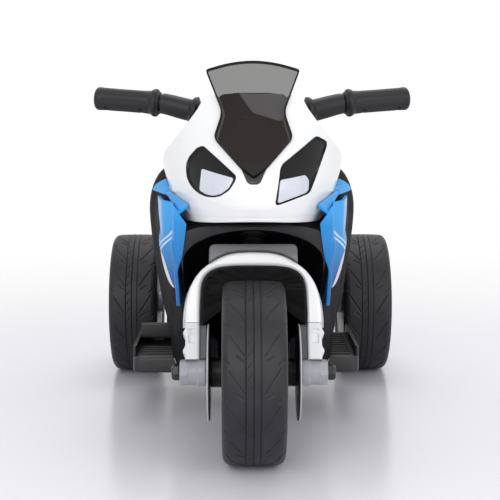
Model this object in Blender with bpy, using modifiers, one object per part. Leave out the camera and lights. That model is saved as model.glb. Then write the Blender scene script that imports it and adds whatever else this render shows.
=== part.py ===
"""A child's three-wheeled ride-on motorcycle with a 6 V drive.

Metres, +Z up, nose towards -Y, floor at z = 0; the rider's right is -X. The body, fairing and
side panels are lofted shells, the wheels and bushes are turned, and the fork is built upright
about the front axle and then leant back by the rake.
"""
import math

import bmesh
import bpy
from mathutils import Matrix, Vector

# Driving dimensions
WHEEL_RADIUS = 0.093
TYRE_WIDTH = 0.063
FRONT_AXLE_Y = -0.237
WHEELBASE = 0.434
REAR_AXLE_Y = FRONT_AXLE_Y + WHEELBASE
REAR_WIDTH = 0.372
RAKE = math.radians(24)
# Height of the axles in the drawing; at the end the toy is lifted on to its own wheels
AXLE_HEIGHT = 0.093
GAP = 0.0003
WALL = 0.003
BODY_HALF_WIDTH = 0.1235
BODY_FRONT_Y = -0.190
NOSE_BACK_Y = -0.085
SWEEP_CLEARANCE = 0.0025

# Running gear
BEAD_RADIUS = 0.062
WHEEL_STEPS = 28
GROOVE_WIDTH = 0.0030
GROOVE_DEPTH = 0.0018
AXLE_RADIUS = 0.004
RUNNING_FIT = 0.0003
DISC_RADIUS = 0.049
DISC_THICKNESS = 0.0025
BOSS_RADIUS = 0.0138
CAP_RADIUS = 0.0082
CAP_LENGTH = 0.0080

# Fork, measured along the steering axis from the front axle
LEG_INNER_X = TYRE_WIDTH / 2 + 0.023
LEG_OUTER_X = LEG_INNER_X + 0.0148
LEG_HALF_DEPTH = 0.013
LEG_TOP = 0.0485
RIB_HEIGHTS = (0.0201, 0.0386)
DISC_FACE_X = LEG_INNER_X - 0.0080
BOSS_INNER_X = DISC_FACE_X + 0.0013
BOSS_OUTER_X = LEG_OUTER_X + 0.0054
ARCH_TOP = WHEEL_RADIUS + 0.0311
ARCH_THICKNESS = 0.0149
# Shoulders of the arch's two edges, as steps inwards from the leg and down from the top
ARCH_SHOULDERS = ((0.0, 0.0520), (0.0212, 0.0143), (0.0385, 0.0))
ARCH_INNER_SHOULDERS = ((0.0006, 0.0165), (0.0170, 0.0))
CROWN_TOP = ARCH_TOP + 0.0067
CROWN_HALF_WIDTH = LEG_INNER_X - 0.0088
CROWN_HALF_DEPTH = 0.0200
COLUMN_RADIUS = 0.008
YOKE_BOTTOM = 0.268
YOKE_TOP = 0.2965
LOWER_BUSH = 0.150
UPPER_BUSH = 0.236
BUSH_WALL = 0.003

# Handlebar
BAR_RADIUS = 0.0112
CORE_RADIUS = 0.0080
GRIP_RADIUS = 0.0124
GRIP_START = Vector((0.1010, -0.1000, 0.3640))
GRIP_END = Vector((0.1740, -0.0860, 0.3695))

# Rear end
FRAME_HALF_WIDTH = REAR_WIDTH / 2 - TYRE_WIDTH - 0.011
FRAME_FRONT_Y = REAR_AXLE_Y - 0.069
FRAME_BACK_Y = REAR_AXLE_Y + 0.067
FRAME_BOTTOM = 0.060
FRAME_TOP = 0.138
FOOTREST_TOP = 0.0705
FOOTREST_BOTTOM = 0.0520
FOOTREST_FRONT_Y = -0.062
FOOTREST_BACK_Y = REAR_AXLE_Y - WHEEL_RADIUS - 0.010
RIGHT_FOOTREST_X = 0.1395
LEFT_FOOTREST_X = 0.126

PEDAL_INNER_X = 0.0965
PEDAL_OUTER_X = 0.1345
PEDAL_FRONT_Y = 0.012
PEDAL_HEEL_Y = 0.076
PEDAL_TOP = 0.0980
PEDAL_TRAVEL = 0.0060
PEDAL_PIN_RADIUS = 0.0022

# Details of the steering, the body and the drive
GUARD_WALL = 0.0022
GUARD_FRONT = math.radians(-16)
GUARD_BACK = math.radians(72)
GUARD_DRAWN_IN = math.radians(30)
GUARD_RADIUS = WHEEL_RADIUS + 0.0085
GUARD_HALF_WIDTH = TYRE_WIDTH / 2 + 0.0067
GUARD_CORNER = 0.0030
GUARD_STEPS = 7
SWEEP_HEADROOM = 0.0160
WELL_WALL = 0.0025
BAR_MIDDLE = (0.0, -0.1170, 0.3470)
FLARE_POINT = Vector((0.0640, -0.1060, 0.3555))
FLARE_RADIUS = 0.0160
SHOULDER_DROP = 0.018
COVER_DEPTH = 0.012
BUTTON_X = 0.012
BUTTON_RADIUS = 0.0065
BAY_HALF_WIDTH = 0.046
BAY_FRONT_Y = 0.050
BAY_BACK_Y = REAR_AXLE_Y - 0.013
SWITCH_Y = -0.020
SOCKET_RADIUS = 0.0062
SOCKET_X = 0.082
SOCKET_Y = 0.070
SOCKET_Z = 0.150
GEARBOX_START = 0.078
MOTOR_Y = REAR_AXLE_Y - 0.037
MOTOR_Z = 0.104
MOTOR_RADIUS = 0.0138
MOTOR_LENGTH = 0.036
BATTERY = (0.070, 0.047, 0.101)
BATTERY_Y = 0.051

# Worked out from the dimensions above
REAR_WHEEL_X = REAR_WIDTH / 2 - TYRE_WIDTH / 2
WHEEL_CORNER = math.hypot(WHEEL_RADIUS, TYRE_WIDTH / 2)
FORK_CORNER = math.hypot(LEG_OUTER_X, LEG_HALF_DEPTH)
STEERING = Matrix.Translation((0, FRONT_AXLE_Y, AXLE_HEIGHT)) @ Matrix.Rotation(-RAKE, 4, "X")
ALONG_X = Matrix.Rotation(math.pi / 2, 4, "Y")


def from_axle(*rows):
    """Rows of a table whose places are stated from the rear axle."""
    return tuple((REAR_AXLE_Y + place, *values) for place, *values in rows)


# Half width of the body, its underside and its top, each along the length
BODY_WIDTH = ((BODY_FRONT_Y, LEG_OUTER_X + 0.0097), (-0.168, LEG_OUTER_X + 0.0257),
              (-0.090, 0.1115), (-0.050, BODY_HALF_WIDTH), (0.000, 0.117), (0.050, 0.099),
              *from_axle((-0.087, 0.086), (0.003, 0.078), (0.073, 0.062), (0.115, 0.040)))
BODY_BOTTOM = ((BODY_FRONT_Y, 0.150), (-0.130, 0.100), (-0.090, 0.060), (-0.050, 0.055),
               *from_axle((-0.097, 0.055), (-0.072, 0.060), (-0.047, 0.115), (0.003, 0.140),
                          (0.073, 0.170), (0.115, 0.215)))
BODY_TOP = ((BODY_FRONT_Y, 0.238), (-0.165, 0.2415), (-0.145, 0.256), (-0.120, 0.280),
            (-0.085, 0.300), (-0.050, 0.303), (0.000, 0.280), (0.040, 0.250),
            *from_axle((-0.097, 0.236), (0.003, 0.243), (0.073, 0.262), (0.115, 0.278)))
BODY_STATIONS = (BODY_FRONT_Y, -0.165, -0.140, -0.112, -0.086, -0.050, 0.000, 0.045,
                 *(y for y, in from_axle((-0.097,), (-0.072,), (-0.047,), (0.013,), (0.068,),
                                         (0.115,))))
# One half section of the body, as shares of its half width and of its height
BODY_SECTION = ((0.0, 0.0), (0.70, 0.0), (0.775, 0.06), (0.827, 0.22), (0.886, 0.334),
                (0.950, 0.52), (1.0, 0.755), (0.970, 0.86), (0.87, 0.94), (0.62, 0.99), (0.0, 1.0))

# Foremost line of the nose and its half width, each by height
NOSE_FRONT = ((0.240, -0.238), (0.262, -0.248), (0.285, -0.2475), (0.305, -0.231),
              (0.335, -0.203), (0.375, -0.168), (0.415, -0.134))
NOSE_WIDTH = ((0.240, 0.083), (0.265, 0.0915), (0.300, 0.100), (0.330, 0.104), (0.365, 0.102),
              (0.415, 0.096))

# Stations of the forms on top of the body, as place, half width and height
TANK_STATIONS = ((-0.158, 0.066, 0.290), (-0.140, 0.076, 0.308), (-0.112, 0.086, 0.317),
                 (-0.080, 0.092, 0.320), (-0.040, 0.092, 0.316), (-0.005, 0.083, 0.300),
                 (0.020, 0.068, 0.277), (0.034, 0.056, 0.262))
SEAT_STATIONS = ((0.0365, 0.052, 0.260), (0.060, 0.058, 0.258),
                 *from_axle((-0.097, 0.066, 0.258), (-0.047, 0.070, 0.264), (-0.002, 0.064, 0.276)))
TAIL_STATIONS = from_axle((0.0, 0.062, 0.300), (0.028, 0.058, 0.318), (0.063, 0.050, 0.334),
                          (0.098, 0.041, 0.344), (0.125, 0.032, 0.346))
LIGHT_DEPTH = 0.008
FIN_STATIONS = ((-0.190, 0.0710, 0.2570, 0.2600), (-0.165, 0.0835, 0.2490, 0.2665),
                (-0.135, 0.0960, 0.2560, 0.2720), (-0.100, 0.1065, 0.2620, 0.2790),
                (-0.072, 0.1180, 0.2665, 0.2700))
# Side panel seen from the side, as y and z
PANEL_EDGE = ((-0.192, 0.2375), (-0.165, 0.2405), (-0.135, 0.2545), (-0.104, 0.2600),
              (-0.078, 0.2140), (-0.106, 0.1760), (-0.133, 0.1440), (-0.148, 0.1500),
              (-0.178, 0.1850), (-0.192, 0.2100))

# Outlines seen from the front, right half of each, as x and z
FAIRING_EDGE = ((0.0, 0.248), (0.0705, 0.2405), (0.0797, 0.2468), (0.0884, 0.2676),
                (0.0975, 0.2930), (0.0985, 0.3030), (0.0945, 0.3130), (0.0824, 0.3263),
                (0.0735, 0.3369), (0.0578, 0.3587), (0.0510, 0.3720), (0.0345, 0.3720),
                (0.0285, 0.3535), (0.0360, 0.3275), (0.0136, 0.3000), (0.0060, 0.2842),
                (0.0, 0.2835))
SCREEN_EDGE = ((0.0, 0.2895), (0.0133, 0.2998), (0.0395, 0.3275), (0.0314, 0.3537),
               (0.0493, 0.3976), (0.0250, 0.4046), (0.0, 0.4072))
HOOD_EDGE = ((0.0, 0.3100), (0.0300, 0.3250), (0.0385, 0.3400), (0.0385, 0.3680),
             (0.0335, 0.3752), (0.0, 0.3776))

INSERT_EDGE = ((0.0, 0.2838), (0.0057, 0.2845), (0.0133, 0.3002), (0.0172, 0.3050), (0.0, 0.3050))
# Headlights, whole outlines: a round one with a straight cut on the rider's right, an angled one left
ROUND_BEZEL = ((-0.0513, 0.3209), (-0.0340, 0.3065), (-0.0174, 0.2921), (-0.0184, 0.2872),
               (-0.0241, 0.2783), (-0.0332, 0.2720), (-0.0405, 0.2702), (-0.0475, 0.2704),
               (-0.0542, 0.2725), (-0.0600, 0.2762), (-0.0646, 0.2812), (-0.0680, 0.2880),
               (-0.0692, 0.2967), (-0.0685, 0.3035), (-0.0657, 0.3097), (-0.0578, 0.3185))
ROUND_LENS = ((-0.0527, 0.2982), (-0.0344, 0.2935), (-0.0199, 0.2900), (-0.0245, 0.2803),
              (-0.0322, 0.2740), (-0.0404, 0.2716), (-0.0478, 0.2725), (-0.0548, 0.2763))
ANGLED_BEZEL = ((0.0651, 0.3300), (0.0685, 0.3294), (0.0774, 0.3243), (0.0771, 0.3194),
                (0.0573, 0.2742), (0.0549, 0.2726), (0.0235, 0.2629), (0.0213, 0.2645),
                (0.0266, 0.2986), (0.0289, 0.3032))
ANGLED_LENS = ((0.0262, 0.2880), (0.0524, 0.2919), (0.0561, 0.2866), (0.0557, 0.2765),
               (0.0528, 0.2737), (0.0238, 0.2648))

PARTS = bpy.data.collections.new("ride_on_motorcycle")
CUTTERS = bpy.data.collections.new("cutters")


def finish(name, colour, roughness, metallic=0.0, alpha=1.0):
    """A plain material from a linear colour, its roughness and its metallic value."""
    material = bpy.data.materials.new(name)
    material.use_nodes = True
    shader = material.node_tree.nodes["Principled BSDF"]
    shader.inputs["Base Color"].default_value = (*colour, 1.0)
    shader.inputs["Roughness"].default_value = roughness
    shader.inputs["Metallic"].default_value = metallic
    shader.inputs["Alpha"].default_value = alpha
    return material


def through(table, at):
    """Smooth curve through the (place, value) pairs of a table."""
    last = len(table) - 1
    slopes = []
    for i in range(last + 1):
        before, after = table[max(i - 1, 0)], table[min(i + 1, last)]
        slopes.append((after[1] - before[1]) / (after[0] - before[0]))
    if at <= table[0][0]:
        return table[0][1] + slopes[0] * (at - table[0][0])
    if at >= table[last][0]:
        return table[last][1] + slopes[last] * (at - table[last][0])
    i = max(k for k in range(last) if table[k][0] <= at)
    step = table[i + 1][0] - table[i][0]
    t = (at - table[i][0]) / step
    rise = table[i][1] * (2 * t**3 - 3 * t**2 + 1) + table[i + 1][1] * (3 * t**2 - 2 * t**3)
    return rise + step * (slopes[i] * (t**3 - 2 * t**2 + t) + slopes[i + 1] * (t**3 - t**2))


def both_halves(edge):
    """Close an outline by repeating its right half on the left, as x and z."""
    left = [(-x, z) for x, z in reversed(edge) if x > 0]
    return list(edge) + left


def grow(outline, distance):
    """Move each side of a closed outline outwards, along the normals at its corners."""
    turn = sum(a[0] * b[1] - b[0] * a[1] for a, b in zip(outline, outline[1:] + outline[:1]))
    grown = []
    for i, corner in enumerate(outline):
        point = Vector(corner)
        before = (point - Vector(outline[i - 1])).normalized()
        after = (Vector(outline[(i + 1) % len(outline)]) - point).normalized()
        along = (before + after).normalized()
        shift = math.copysign(distance / max(along.dot(after), 0.7), distance * turn)
        grown.append((point.x + along.y * shift, point.y - along.x * shift))
    return grown


def rounded(corners, radius, steps=4):
    """Replace each corner of an outline by an arc; a list of radii gives each corner its own."""
    outline = []
    radii = radius if isinstance(radius, list) else [radius] * len(corners)
    for i, (corner, radius) in enumerate(zip(corners, radii)):
        if radius == 0:
            outline.append(corner)
            continue
        point = Vector(corner)
        before = Vector(corners[i - 1]) - point
        after = Vector(corners[(i + 1) % len(corners)]) - point
        half = before.angle(after) / 2
        reach = min(radius / math.tan(half), before.length * 0.45, after.length * 0.45)
        bend = reach * math.tan(half)
        middle = point + (before.normalized() + after.normalized()).normalized() * bend / math.sin(half)
        arm = point + before.normalized() * reach - middle
        sweep = arm.angle_signed(point + after.normalized() * reach - middle)
        for k in range(steps + 1):
            angle = -sweep * k / steps
            outline.append((middle.x + arm.x * math.cos(angle) - arm.y * math.sin(angle),
                            middle.y + arm.x * math.sin(angle) + arm.y * math.cos(angle)))
    return outline


def add(name, mesh, material, place=None):
    """Put a mesh in the scene as a named part, or as a cutter where it has no material."""
    obj = bpy.data.objects.new(name, mesh)
    if material is None:
        CUTTERS.objects.link(obj)
        obj.hide_render = True
        obj.display_type = "WIRE"
    else:
        PARTS.objects.link(obj)
        mesh.materials.clear()
        mesh.materials.append(material)
        mesh.shade_smooth()
        mesh.set_sharp_from_angle(angle=math.radians(35))
    obj.matrix_world = place or Matrix()
    return obj


def from_bmesh(name, form, material, place=None):
    """Turn a finished bmesh into an object with its faces pointing out."""
    bmesh.ops.recalc_face_normals(form, faces=form.faces)
    mesh = bpy.data.meshes.new(name)
    form.to_mesh(mesh)
    form.free()
    return add(name, mesh, material, place)


def evaluated_mesh(obj):
    """The mesh of an object with its modifiers or its curve bevel worked out."""
    bpy.context.view_layer.update()
    graph = bpy.context.evaluated_depsgraph_get()
    return bpy.data.meshes.new_from_object(obj.evaluated_get(graph), depsgraph=graph)


def split_patch(form, a, b, c, d, flip):
    """Two triangles over the patch a b c d, so that forms offset from each other stay apart."""
    if flip:
        form.faces.new((a, b, d))
        form.faces.new((b, c, d))
    else:
        form.faces.new((a, b, c))
        form.faces.new((a, c, d))


def loft(name, rings, material, place=None):
    """A closed solid over rings that have the same number of points."""
    form = bmesh.new()
    rows = [[form.verts.new(point) for point in ring] for ring in rings]
    count = len(rows[0])
    for near, far in zip(rows, rows[1:]):
        for i in range(count):
            j = (i + 1) % count
            split_patch(form, near[i], near[j], far[j], far[i], i >= count // 2)
    form.faces.new(rows[0])
    form.faces.new(rows[-1])
    return from_bmesh(name, form, material, place)


def layer(name, outer, inner, material):
    """The closed solid between two grids of points, joined along their rims."""
    form = bmesh.new()
    skins = [[[form.verts.new(point) for point in row] for row in grid] for grid in (outer, inner)]
    rows, columns = len(outer), len(outer[0])
    for skin in skins:
        for i in range(rows - 1):
            for j in range(columns - 1):
                split_patch(form, skin[i][j], skin[i][j + 1], skin[i + 1][j + 1], skin[i + 1][j],
                            j >= columns // 2)
    rim = [(0, j) for j in range(columns)] + [(i, columns - 1) for i in range(1, rows)]
    rim += [(rows - 1, j) for j in range(columns - 2, -1, -1)]
    rim += [(i, 0) for i in range(rows - 2, 0, -1)]
    for k, (i, j) in enumerate(rim):
        m, n = rim[(k + 1) % len(rim)]
        form.faces.new((skins[0][i][j], skins[0][m][n], skins[1][m][n], skins[1][i][j]))
    return from_bmesh(name, form, material)


def turned(name, profile, steps, material, place=None):
    """A solid turned about local Z from (radius, height) points that run down the outside."""
    mesh = bpy.data.meshes.new(name)
    edges = [(i, i + 1) for i in range(len(profile) - 1)]
    if profile[0][0] > 0:
        edges.append((len(profile) - 1, 0))
    mesh.from_pydata([(radius, 0, height) for radius, height in profile], edges, [])
    obj = add(name, mesh, material, place)
    screw = obj.modifiers.new("turn", "SCREW")
    screw.steps = steps
    screw.render_steps = steps
    screw.use_merge_vertices = True
    screw.merge_threshold = 0.00001
    screw.use_smooth_shade = True
    return obj


def plate(name, outline, thickness, material, place=None):
    """A flat outline in local XY, thickened about its plane."""
    curve = bpy.data.curves.new(name, "CURVE")
    curve.dimensions = "2D"
    curve.fill_mode = "BOTH"
    curve.extrude = thickness / 2
    spline = curve.splines.new("POLY")
    spline.points.add(len(outline) - 1)
    for point, (x, y) in zip(spline.points, outline):
        point.co = (x, y, 0, 1)
    spline.use_cyclic_u = True
    return solid_from_curve(name, curve, material, place)


def tube(name, points, radius, material, sides=4, shares=None):
    """A round bar along points; shares scale its radius at each point."""
    curve = bpy.data.curves.new(name, "CURVE")
    curve.dimensions = "3D"
    curve.bevel_depth = radius
    curve.bevel_resolution = sides
    curve.use_fill_caps = True
    spline = curve.splines.new("POLY")
    spline.points.add(len(points) - 1)
    for i, (point, place) in enumerate(zip(spline.points, points)):
        point.co = (*place, 1)
        point.radius = shares[i] if shares else 1.0
    return solid_from_curve(name, curve, material)


def solid_from_curve(name, curve, material, place=None):
    """Make a curve a welded mesh object, and remove the curve."""
    guide = bpy.data.objects.new(name + "_curve", curve)
    CUTTERS.objects.link(guide)
    mesh = evaluated_mesh(guide)
    bpy.data.objects.remove(guide)
    form = bmesh.new()
    form.from_mesh(mesh)
    bpy.data.meshes.remove(mesh)
    bmesh.ops.remove_doubles(form, verts=form.verts, dist=0.000001)
    return from_bmesh(name, form, material, place)


def box(name, low, high, material, bevel=0.0, segments=2, place=None):
    """A block between two corners, with rounded edges where a bevel is given."""
    low, high = Vector(low), Vector(high)
    form = bmesh.new()
    bmesh.ops.create_cube(form, size=1.0)
    bmesh.ops.scale(form, vec=high - low, verts=form.verts)
    bmesh.ops.translate(form, vec=(low + high) / 2, verts=form.verts)
    obj = from_bmesh(name, form, material, place)
    if bevel:
        rounding = obj.modifiers.new("rounding", "BEVEL")
        rounding.width = bevel
        rounding.segments = segments
        rounding.limit_method = "ANGLE"
    return obj


def rod(name, radius, length, material, sides=24, place=None):
    """A round bar along local Z, centred on its place."""
    form = bmesh.new()
    bmesh.ops.create_cone(form, cap_ends=True, segments=sides, radius1=radius, radius2=radius,
                          depth=length)
    return from_bmesh(name, form, material, place)


def combine(obj, operation, *others):
    """Add a Boolean modifier for each other object."""
    for other in others:
        step = obj.modifiers.new(operation.lower(), "BOOLEAN")
        step.operation = operation
        step.object = other
    return obj


def cut(obj, *cutters):
    return combine(obj, "DIFFERENCE", *cutters)


def keep(obj, *cutters):
    return combine(obj, "INTERSECT", *cutters)


def join(obj, *others):
    return combine(obj, "UNION", *others)


def mirrored(obj, name, material):
    """A copy of a finished piece on the other side of the centre plane."""
    mesh = evaluated_mesh(obj)
    mesh.transform(Matrix.Scale(-1, 4, (1, 0, 0)) @ obj.matrix_world)
    mesh.flip_normals()
    return add(name, mesh, material)


def at(x=0.0, y=0.0, z=0.0):
    return Matrix.Translation((x, y, z))


def front_outline(name, outline):
    """A cutter that reaches through the nose from an outline in x and z."""
    place = at(y=-0.19) @ Matrix.Rotation(math.pi / 2, 4, "X")
    return plate(name, outline, 0.36, None, place)


def nose_point(turn, height):
    """A point of the nose at an angle from its front line and a height."""
    wide, front = through(NOSE_WIDTH, height), through(NOSE_FRONT, height)
    return Vector((wide * math.sin(turn), NOSE_BACK_Y - (NOSE_BACK_Y - front) * math.cos(turn),
                   height))


def nose_grid(offset, low=0.236, high=0.412, rows=9, columns=19):
    """Points of the nose surface, moved outwards by an offset along its normal."""
    small = 0.0005
    reach = math.radians(89.5)
    grid = []
    for i in range(rows):
        height = low + (high - low) * i / (rows - 1)
        row = []
        for j in range(columns):
            turn = reach * (2 * j / (columns - 1) - 1)
            point = nose_point(turn, height)
            across = nose_point(turn + small, height) - point
            upward = nose_point(turn, height + small) - point
            row.append(point + across.cross(upward).normalized() * offset)
        grid.append(row)
    return grid


def nose_layer(name, outer, inner, material):
    """A skin of the nose between two offsets from its surface."""
    return layer(name, nose_grid(outer), nose_grid(inner), material)


def body_ring(station, offset):
    """One closed section of the body, grown by an offset in its plane."""
    wide = through(BODY_WIDTH, station)
    low, high = through(BODY_BOTTOM, station), through(BODY_TOP, station)
    half = [(wide * x, low + (high - low) * z) for x, z in BODY_SECTION]
    ring = half + [(-x, z) for x, z in reversed(half[1:-1])]
    return [Vector((x, station, z)) for x, z in grow(ring, offset)]


def body_solid(name, offset, front=0.0, back=0.0):
    """The closed form of the body, grown by an offset, with straight ends added or cut back."""
    rings = [body_ring(station, offset) for station in BODY_STATIONS]
    first, last = rings[0], rings[-1]
    if front > 0:
        rings.insert(0, [point - Vector((0, front, 0)) for point in first])
    if back > 0:
        rings.append([point + Vector((0, back, 0)) for point in last])
    elif back < 0:
        rings[-1] = [point + Vector((0, back, 0)) for point in last]
    return loft(name, rings, None)


def sweep_form(name, offset):
    """The space that the wheel and fork sweep as they steer, with its clearance."""
    ball = max(WHEEL_CORNER, GUARD_RADIUS + GUARD_CORNER) + SWEEP_CLEARANCE + offset
    post = FORK_CORNER + SWEEP_CLEARANCE + offset
    top = CROWN_TOP + SWEEP_HEADROOM + offset
    meet = math.asin(post / ball)
    profile = [(0.0, top)]
    for k in range(1, 6):
        lean = math.pi / 2 * k / 5
        profile.append((post * math.sin(lean), top - 0.030 * (1 - math.cos(lean))))
    for k in range(8):
        lean = meet + (math.pi - 0.1 - meet) * k / 7
        profile.append((ball * math.sin(lean), ball * math.cos(lean)))
    profile.append((0.0, ball * math.cos(math.pi - 0.1)))
    return turned(name, profile, 28, None, STEERING)


def reset_scene():
    for old in list(bpy.data.objects):
        bpy.data.objects.remove(old, do_unlink=True)
    for group in (PARTS, CUTTERS):
        bpy.context.scene.collection.children.link(group)


reset_scene()
black = finish("black_plastic", (0.018, 0.018, 0.020), 0.45)
charcoal = finish("tyre_plastic", (0.030, 0.030, 0.033), 0.6)
white = finish("white_gloss", (0.86, 0.86, 0.88), 0.2)
blue = finish("blue_gloss", (0.03, 0.22, 0.62), 0.25)
silver = finish("silver_plastic", (0.55, 0.56, 0.60), 0.35, 0.3)
smoke = finish("smoke_screen", (0.05, 0.045, 0.042), 0.1, 0.0, 0.75)
steel = finish("steel", (0.60, 0.60, 0.62), 0.3, 1.0)
nylon = finish("nylon", (0.06, 0.06, 0.065), 0.5)
red = finish("red_lens", (0.55, 0.02, 0.02), 0.15)
grey = finish("grey_plastic", (0.18, 0.18, 0.20), 0.4)

# Shared cutters: the body grown by its gap and by a panel, and the space that the steering sweeps
body_clear = body_solid("body_clear", GAP * 1.5, front=0.020, back=0.010)
panel_reach = body_solid("panel_reach", GAP * 1.5 + WALL, front=0.003)
steering_sweep = sweep_form("steering_sweep", 0.0)


def make_wheel(prefix, centre_x, axle_y, hub_profile):
    """One wheel: a blow-moulded tyre and the spoked hub inside its beads."""
    place = at(centre_x, axle_y, AXLE_HEIGHT) @ ALONG_X
    half = TYRE_WIDTH / 2
    shoulder = 0.012
    profile = [(BEAD_RADIUS, half - 0.006), (WHEEL_RADIUS - shoulder, half)]
    for k in range(1, 4):
        lean = math.pi / 2 * k / 3
        profile.append((WHEEL_RADIUS - shoulder + shoulder * math.sin(lean),
                        half - shoulder * 0.6 + shoulder * 0.6 * math.cos(lean)))
    profile += [(WHEEL_RADIUS, GROOVE_WIDTH), (WHEEL_RADIUS - GROOVE_DEPTH, GROOVE_WIDTH / 2)]
    outline = profile + [(radius, -across) for radius, across in reversed(profile)]
    turned(prefix + "_tyre", outline, WHEEL_STEPS, charcoal, place)
    hub = turned(prefix + "_hub", hub_profile, WHEEL_STEPS, silver, place)
    window = box(prefix + "_window", (-0.009, 0.024, -0.02), (0.009, 0.047, 0.02), None,
                 place=place)
    for k in range(5):
        turn = Matrix.Rotation(2 * math.pi * k / 5, 4, "Z")
        cutter = window if k == 0 else add(f"{prefix}_window_{k}", evaluated_mesh(window), None)
        cutter.matrix_world = place @ turn
        cut(hub, cutter)


def hub_outline(boss_start, boss_end, web, web_half=0.003):
    """Half section of a hub: bore, boss, web and rim barrel, as radius and place across."""
    bore = AXLE_RADIUS + RUNNING_FIT
    rim, barrel = BEAD_RADIUS - GAP, 0.0565
    rim_half = TYRE_WIDTH / 2 - 0.004
    boss = 0.015
    return [(bore, boss_end), (boss, boss_end), (boss, web + web_half), (0.050, web + web_half),
            (barrel, rim_half), (rim, rim_half), (rim, -rim_half), (barrel, -rim_half),
            (0.050, web - web_half), (boss, web - web_half), (boss, boss_start), (bore, boss_start)]


# Front wheel: tyre, hub and the two brake discs that turn with it
disc_inner_x = DISC_FACE_X - DISC_THICKNESS
make_wheel("front", 0.0, FRONT_AXLE_Y, hub_outline(GAP - disc_inner_x, disc_inner_x - GAP, 0.0))
for side, name in ((1, "left"), (-1, "right")):
    bore, inner = AXLE_RADIUS + RUNNING_FIT, DISC_THICKNESS / 2
    turned(f"brake_disc_{name}", [(bore, inner), (DISC_RADIUS, inner), (DISC_RADIUS, -inner),
           (bore, -inner)], 28, silver,
           at(side * (DISC_FACE_X - inner), FRONT_AXLE_Y, AXLE_HEIGHT) @ ALONG_X)

# Rear wheels: the left one is driven, both turn on the fixed axle
rear_boss_start = FRAME_HALF_WIDTH + 0.0075 - REAR_WHEEL_X
hub_end = 0.012
for side, name in ((1, "left"), (-1, "right")):
    outline = hub_outline(rear_boss_start, hub_end, 0.010)
    if side < 0:
        outline = [(radius, -across) for radius, across in reversed(outline)]
    make_wheel(f"rear_{name}", side * REAR_WHEEL_X, REAR_AXLE_Y, outline)
    cap_in, cap_out, cap_radius = hub_end + 0.0075, hub_end + 0.0165, 0.0185
    shell = [(0.0, cap_out), (cap_radius - 0.002, cap_out - 0.002),
             (cap_radius, cap_out - 0.005), (cap_radius, 0.013 + GAP),
             (cap_radius - 0.002, 0.013 + GAP), (cap_radius - 0.002, cap_in), (0.0, cap_in)]
    if side < 0:
        shell = [(radius, -across) for radius, across in reversed(shell)]
    turned(f"rear_cap_{name}", shell, 20, silver,
           at(side * REAR_WHEEL_X, REAR_AXLE_Y, AXLE_HEIGHT) @ ALONG_X)

# Rear axle with its end nuts, and the bushes in the walls of the rear frame
nut_in = REAR_WHEEL_X + hub_end + GAP * 2
nut_out = nut_in + 0.005
turned("rear_axle", [(0.0, nut_out), (0.0065, nut_out), (0.0065, nut_in), (AXLE_RADIUS, nut_in),
                     (AXLE_RADIUS, -nut_in), (0.0065, -nut_in), (0.0065, -nut_out), (0.0, -nut_out)],
       12, steel, at(0, REAR_AXLE_Y, AXLE_HEIGHT) @ ALONG_X)
bush_bore, bush_body = AXLE_RADIUS + GAP, AXLE_RADIUS + BUSH_WALL
for side, name in ((1, "left"), (-1, "right")):
    flange_out = 0.0045
    outline = [(bush_bore, flange_out), (bush_body + 0.004, flange_out),
               (bush_body + 0.004, GAP), (bush_body, GAP), (bush_body, -WALL - 0.004),
               (bush_bore, -WALL - 0.004)]
    if side < 0:
        outline = [(radius, -across) for radius, across in reversed(outline)]
    turned(f"axle_bush_{name}", outline, 14, nylon,
           at(side * FRAME_HALF_WIDTH, REAR_AXLE_Y, AXLE_HEIGHT) @ ALONG_X)


# Fork, built upright about the axle
def make_fork_leg():
    """Silver lower leg with its axle boss, outer ribs, recess and inner web."""
    leg = box("fork_leg_left", (LEG_INNER_X, -LEG_HALF_DEPTH, 0.0), (LEG_OUTER_X, LEG_HALF_DEPTH,
              LEG_TOP - GAP), silver, 0.004, place=STEERING)
    boss_length = BOSS_OUTER_X - BOSS_INNER_X
    boss = rod("leg_boss", BOSS_RADIUS, boss_length, None, 28,
               STEERING @ at((BOSS_OUTER_X + BOSS_INNER_X) / 2) @ ALONG_X)
    web = box("leg_web", (BOSS_INNER_X, -0.009, 0.004), (LEG_INNER_X + 0.001, 0.009, LEG_TOP - 0.001),
              None, 0.002, place=STEERING)
    join(leg, boss, web)
    for height in RIB_HEIGHTS:
        rib = rod(f"leg_rib_{height}", 0.0050, 2 * LEG_HALF_DEPTH - 0.006, None, 12,
                  STEERING @ at(LEG_OUTER_X - 0.0015, 0, height) @ Matrix.Rotation(math.pi / 2, 4, "X"))
        join(leg, rib)
    recess = box("leg_recess", (LEG_INNER_X + 0.0045, -LEG_HALF_DEPTH - 0.005, 0.0280),
                 (LEG_OUTER_X - 0.0035, -LEG_HALF_DEPTH + 0.0015, 0.0420), None, place=STEERING)
    bore = rod("leg_bore", AXLE_RADIUS + GAP, 0.06, None, 16, STEERING @ at(0.062) @ ALONG_X)
    return cut(leg, recess, bore)


def arch_edge(side, top, shoulders, radius):
    """Right half of one edge of the arch, from the leg up to the middle, its shoulders rounded."""
    corners = [(side, LEG_TOP)] + [(side - inward, top - drop) for inward, drop in shoulders]
    corners += [(-x, z) for x, z in reversed(corners)]
    radii = [0.0 if z == LEG_TOP else radius for x, z in corners]
    return [point for point in rounded(corners, radii, 3) if point[0] > 0] + [(0.0, top)]


def upright(name, outline, depth, material):
    """A plate in the plane of the fork, leant back with it."""
    return plate(name, outline, depth, material, STEERING @ Matrix.Rotation(math.pi / 2, 4, "X"))


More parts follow.
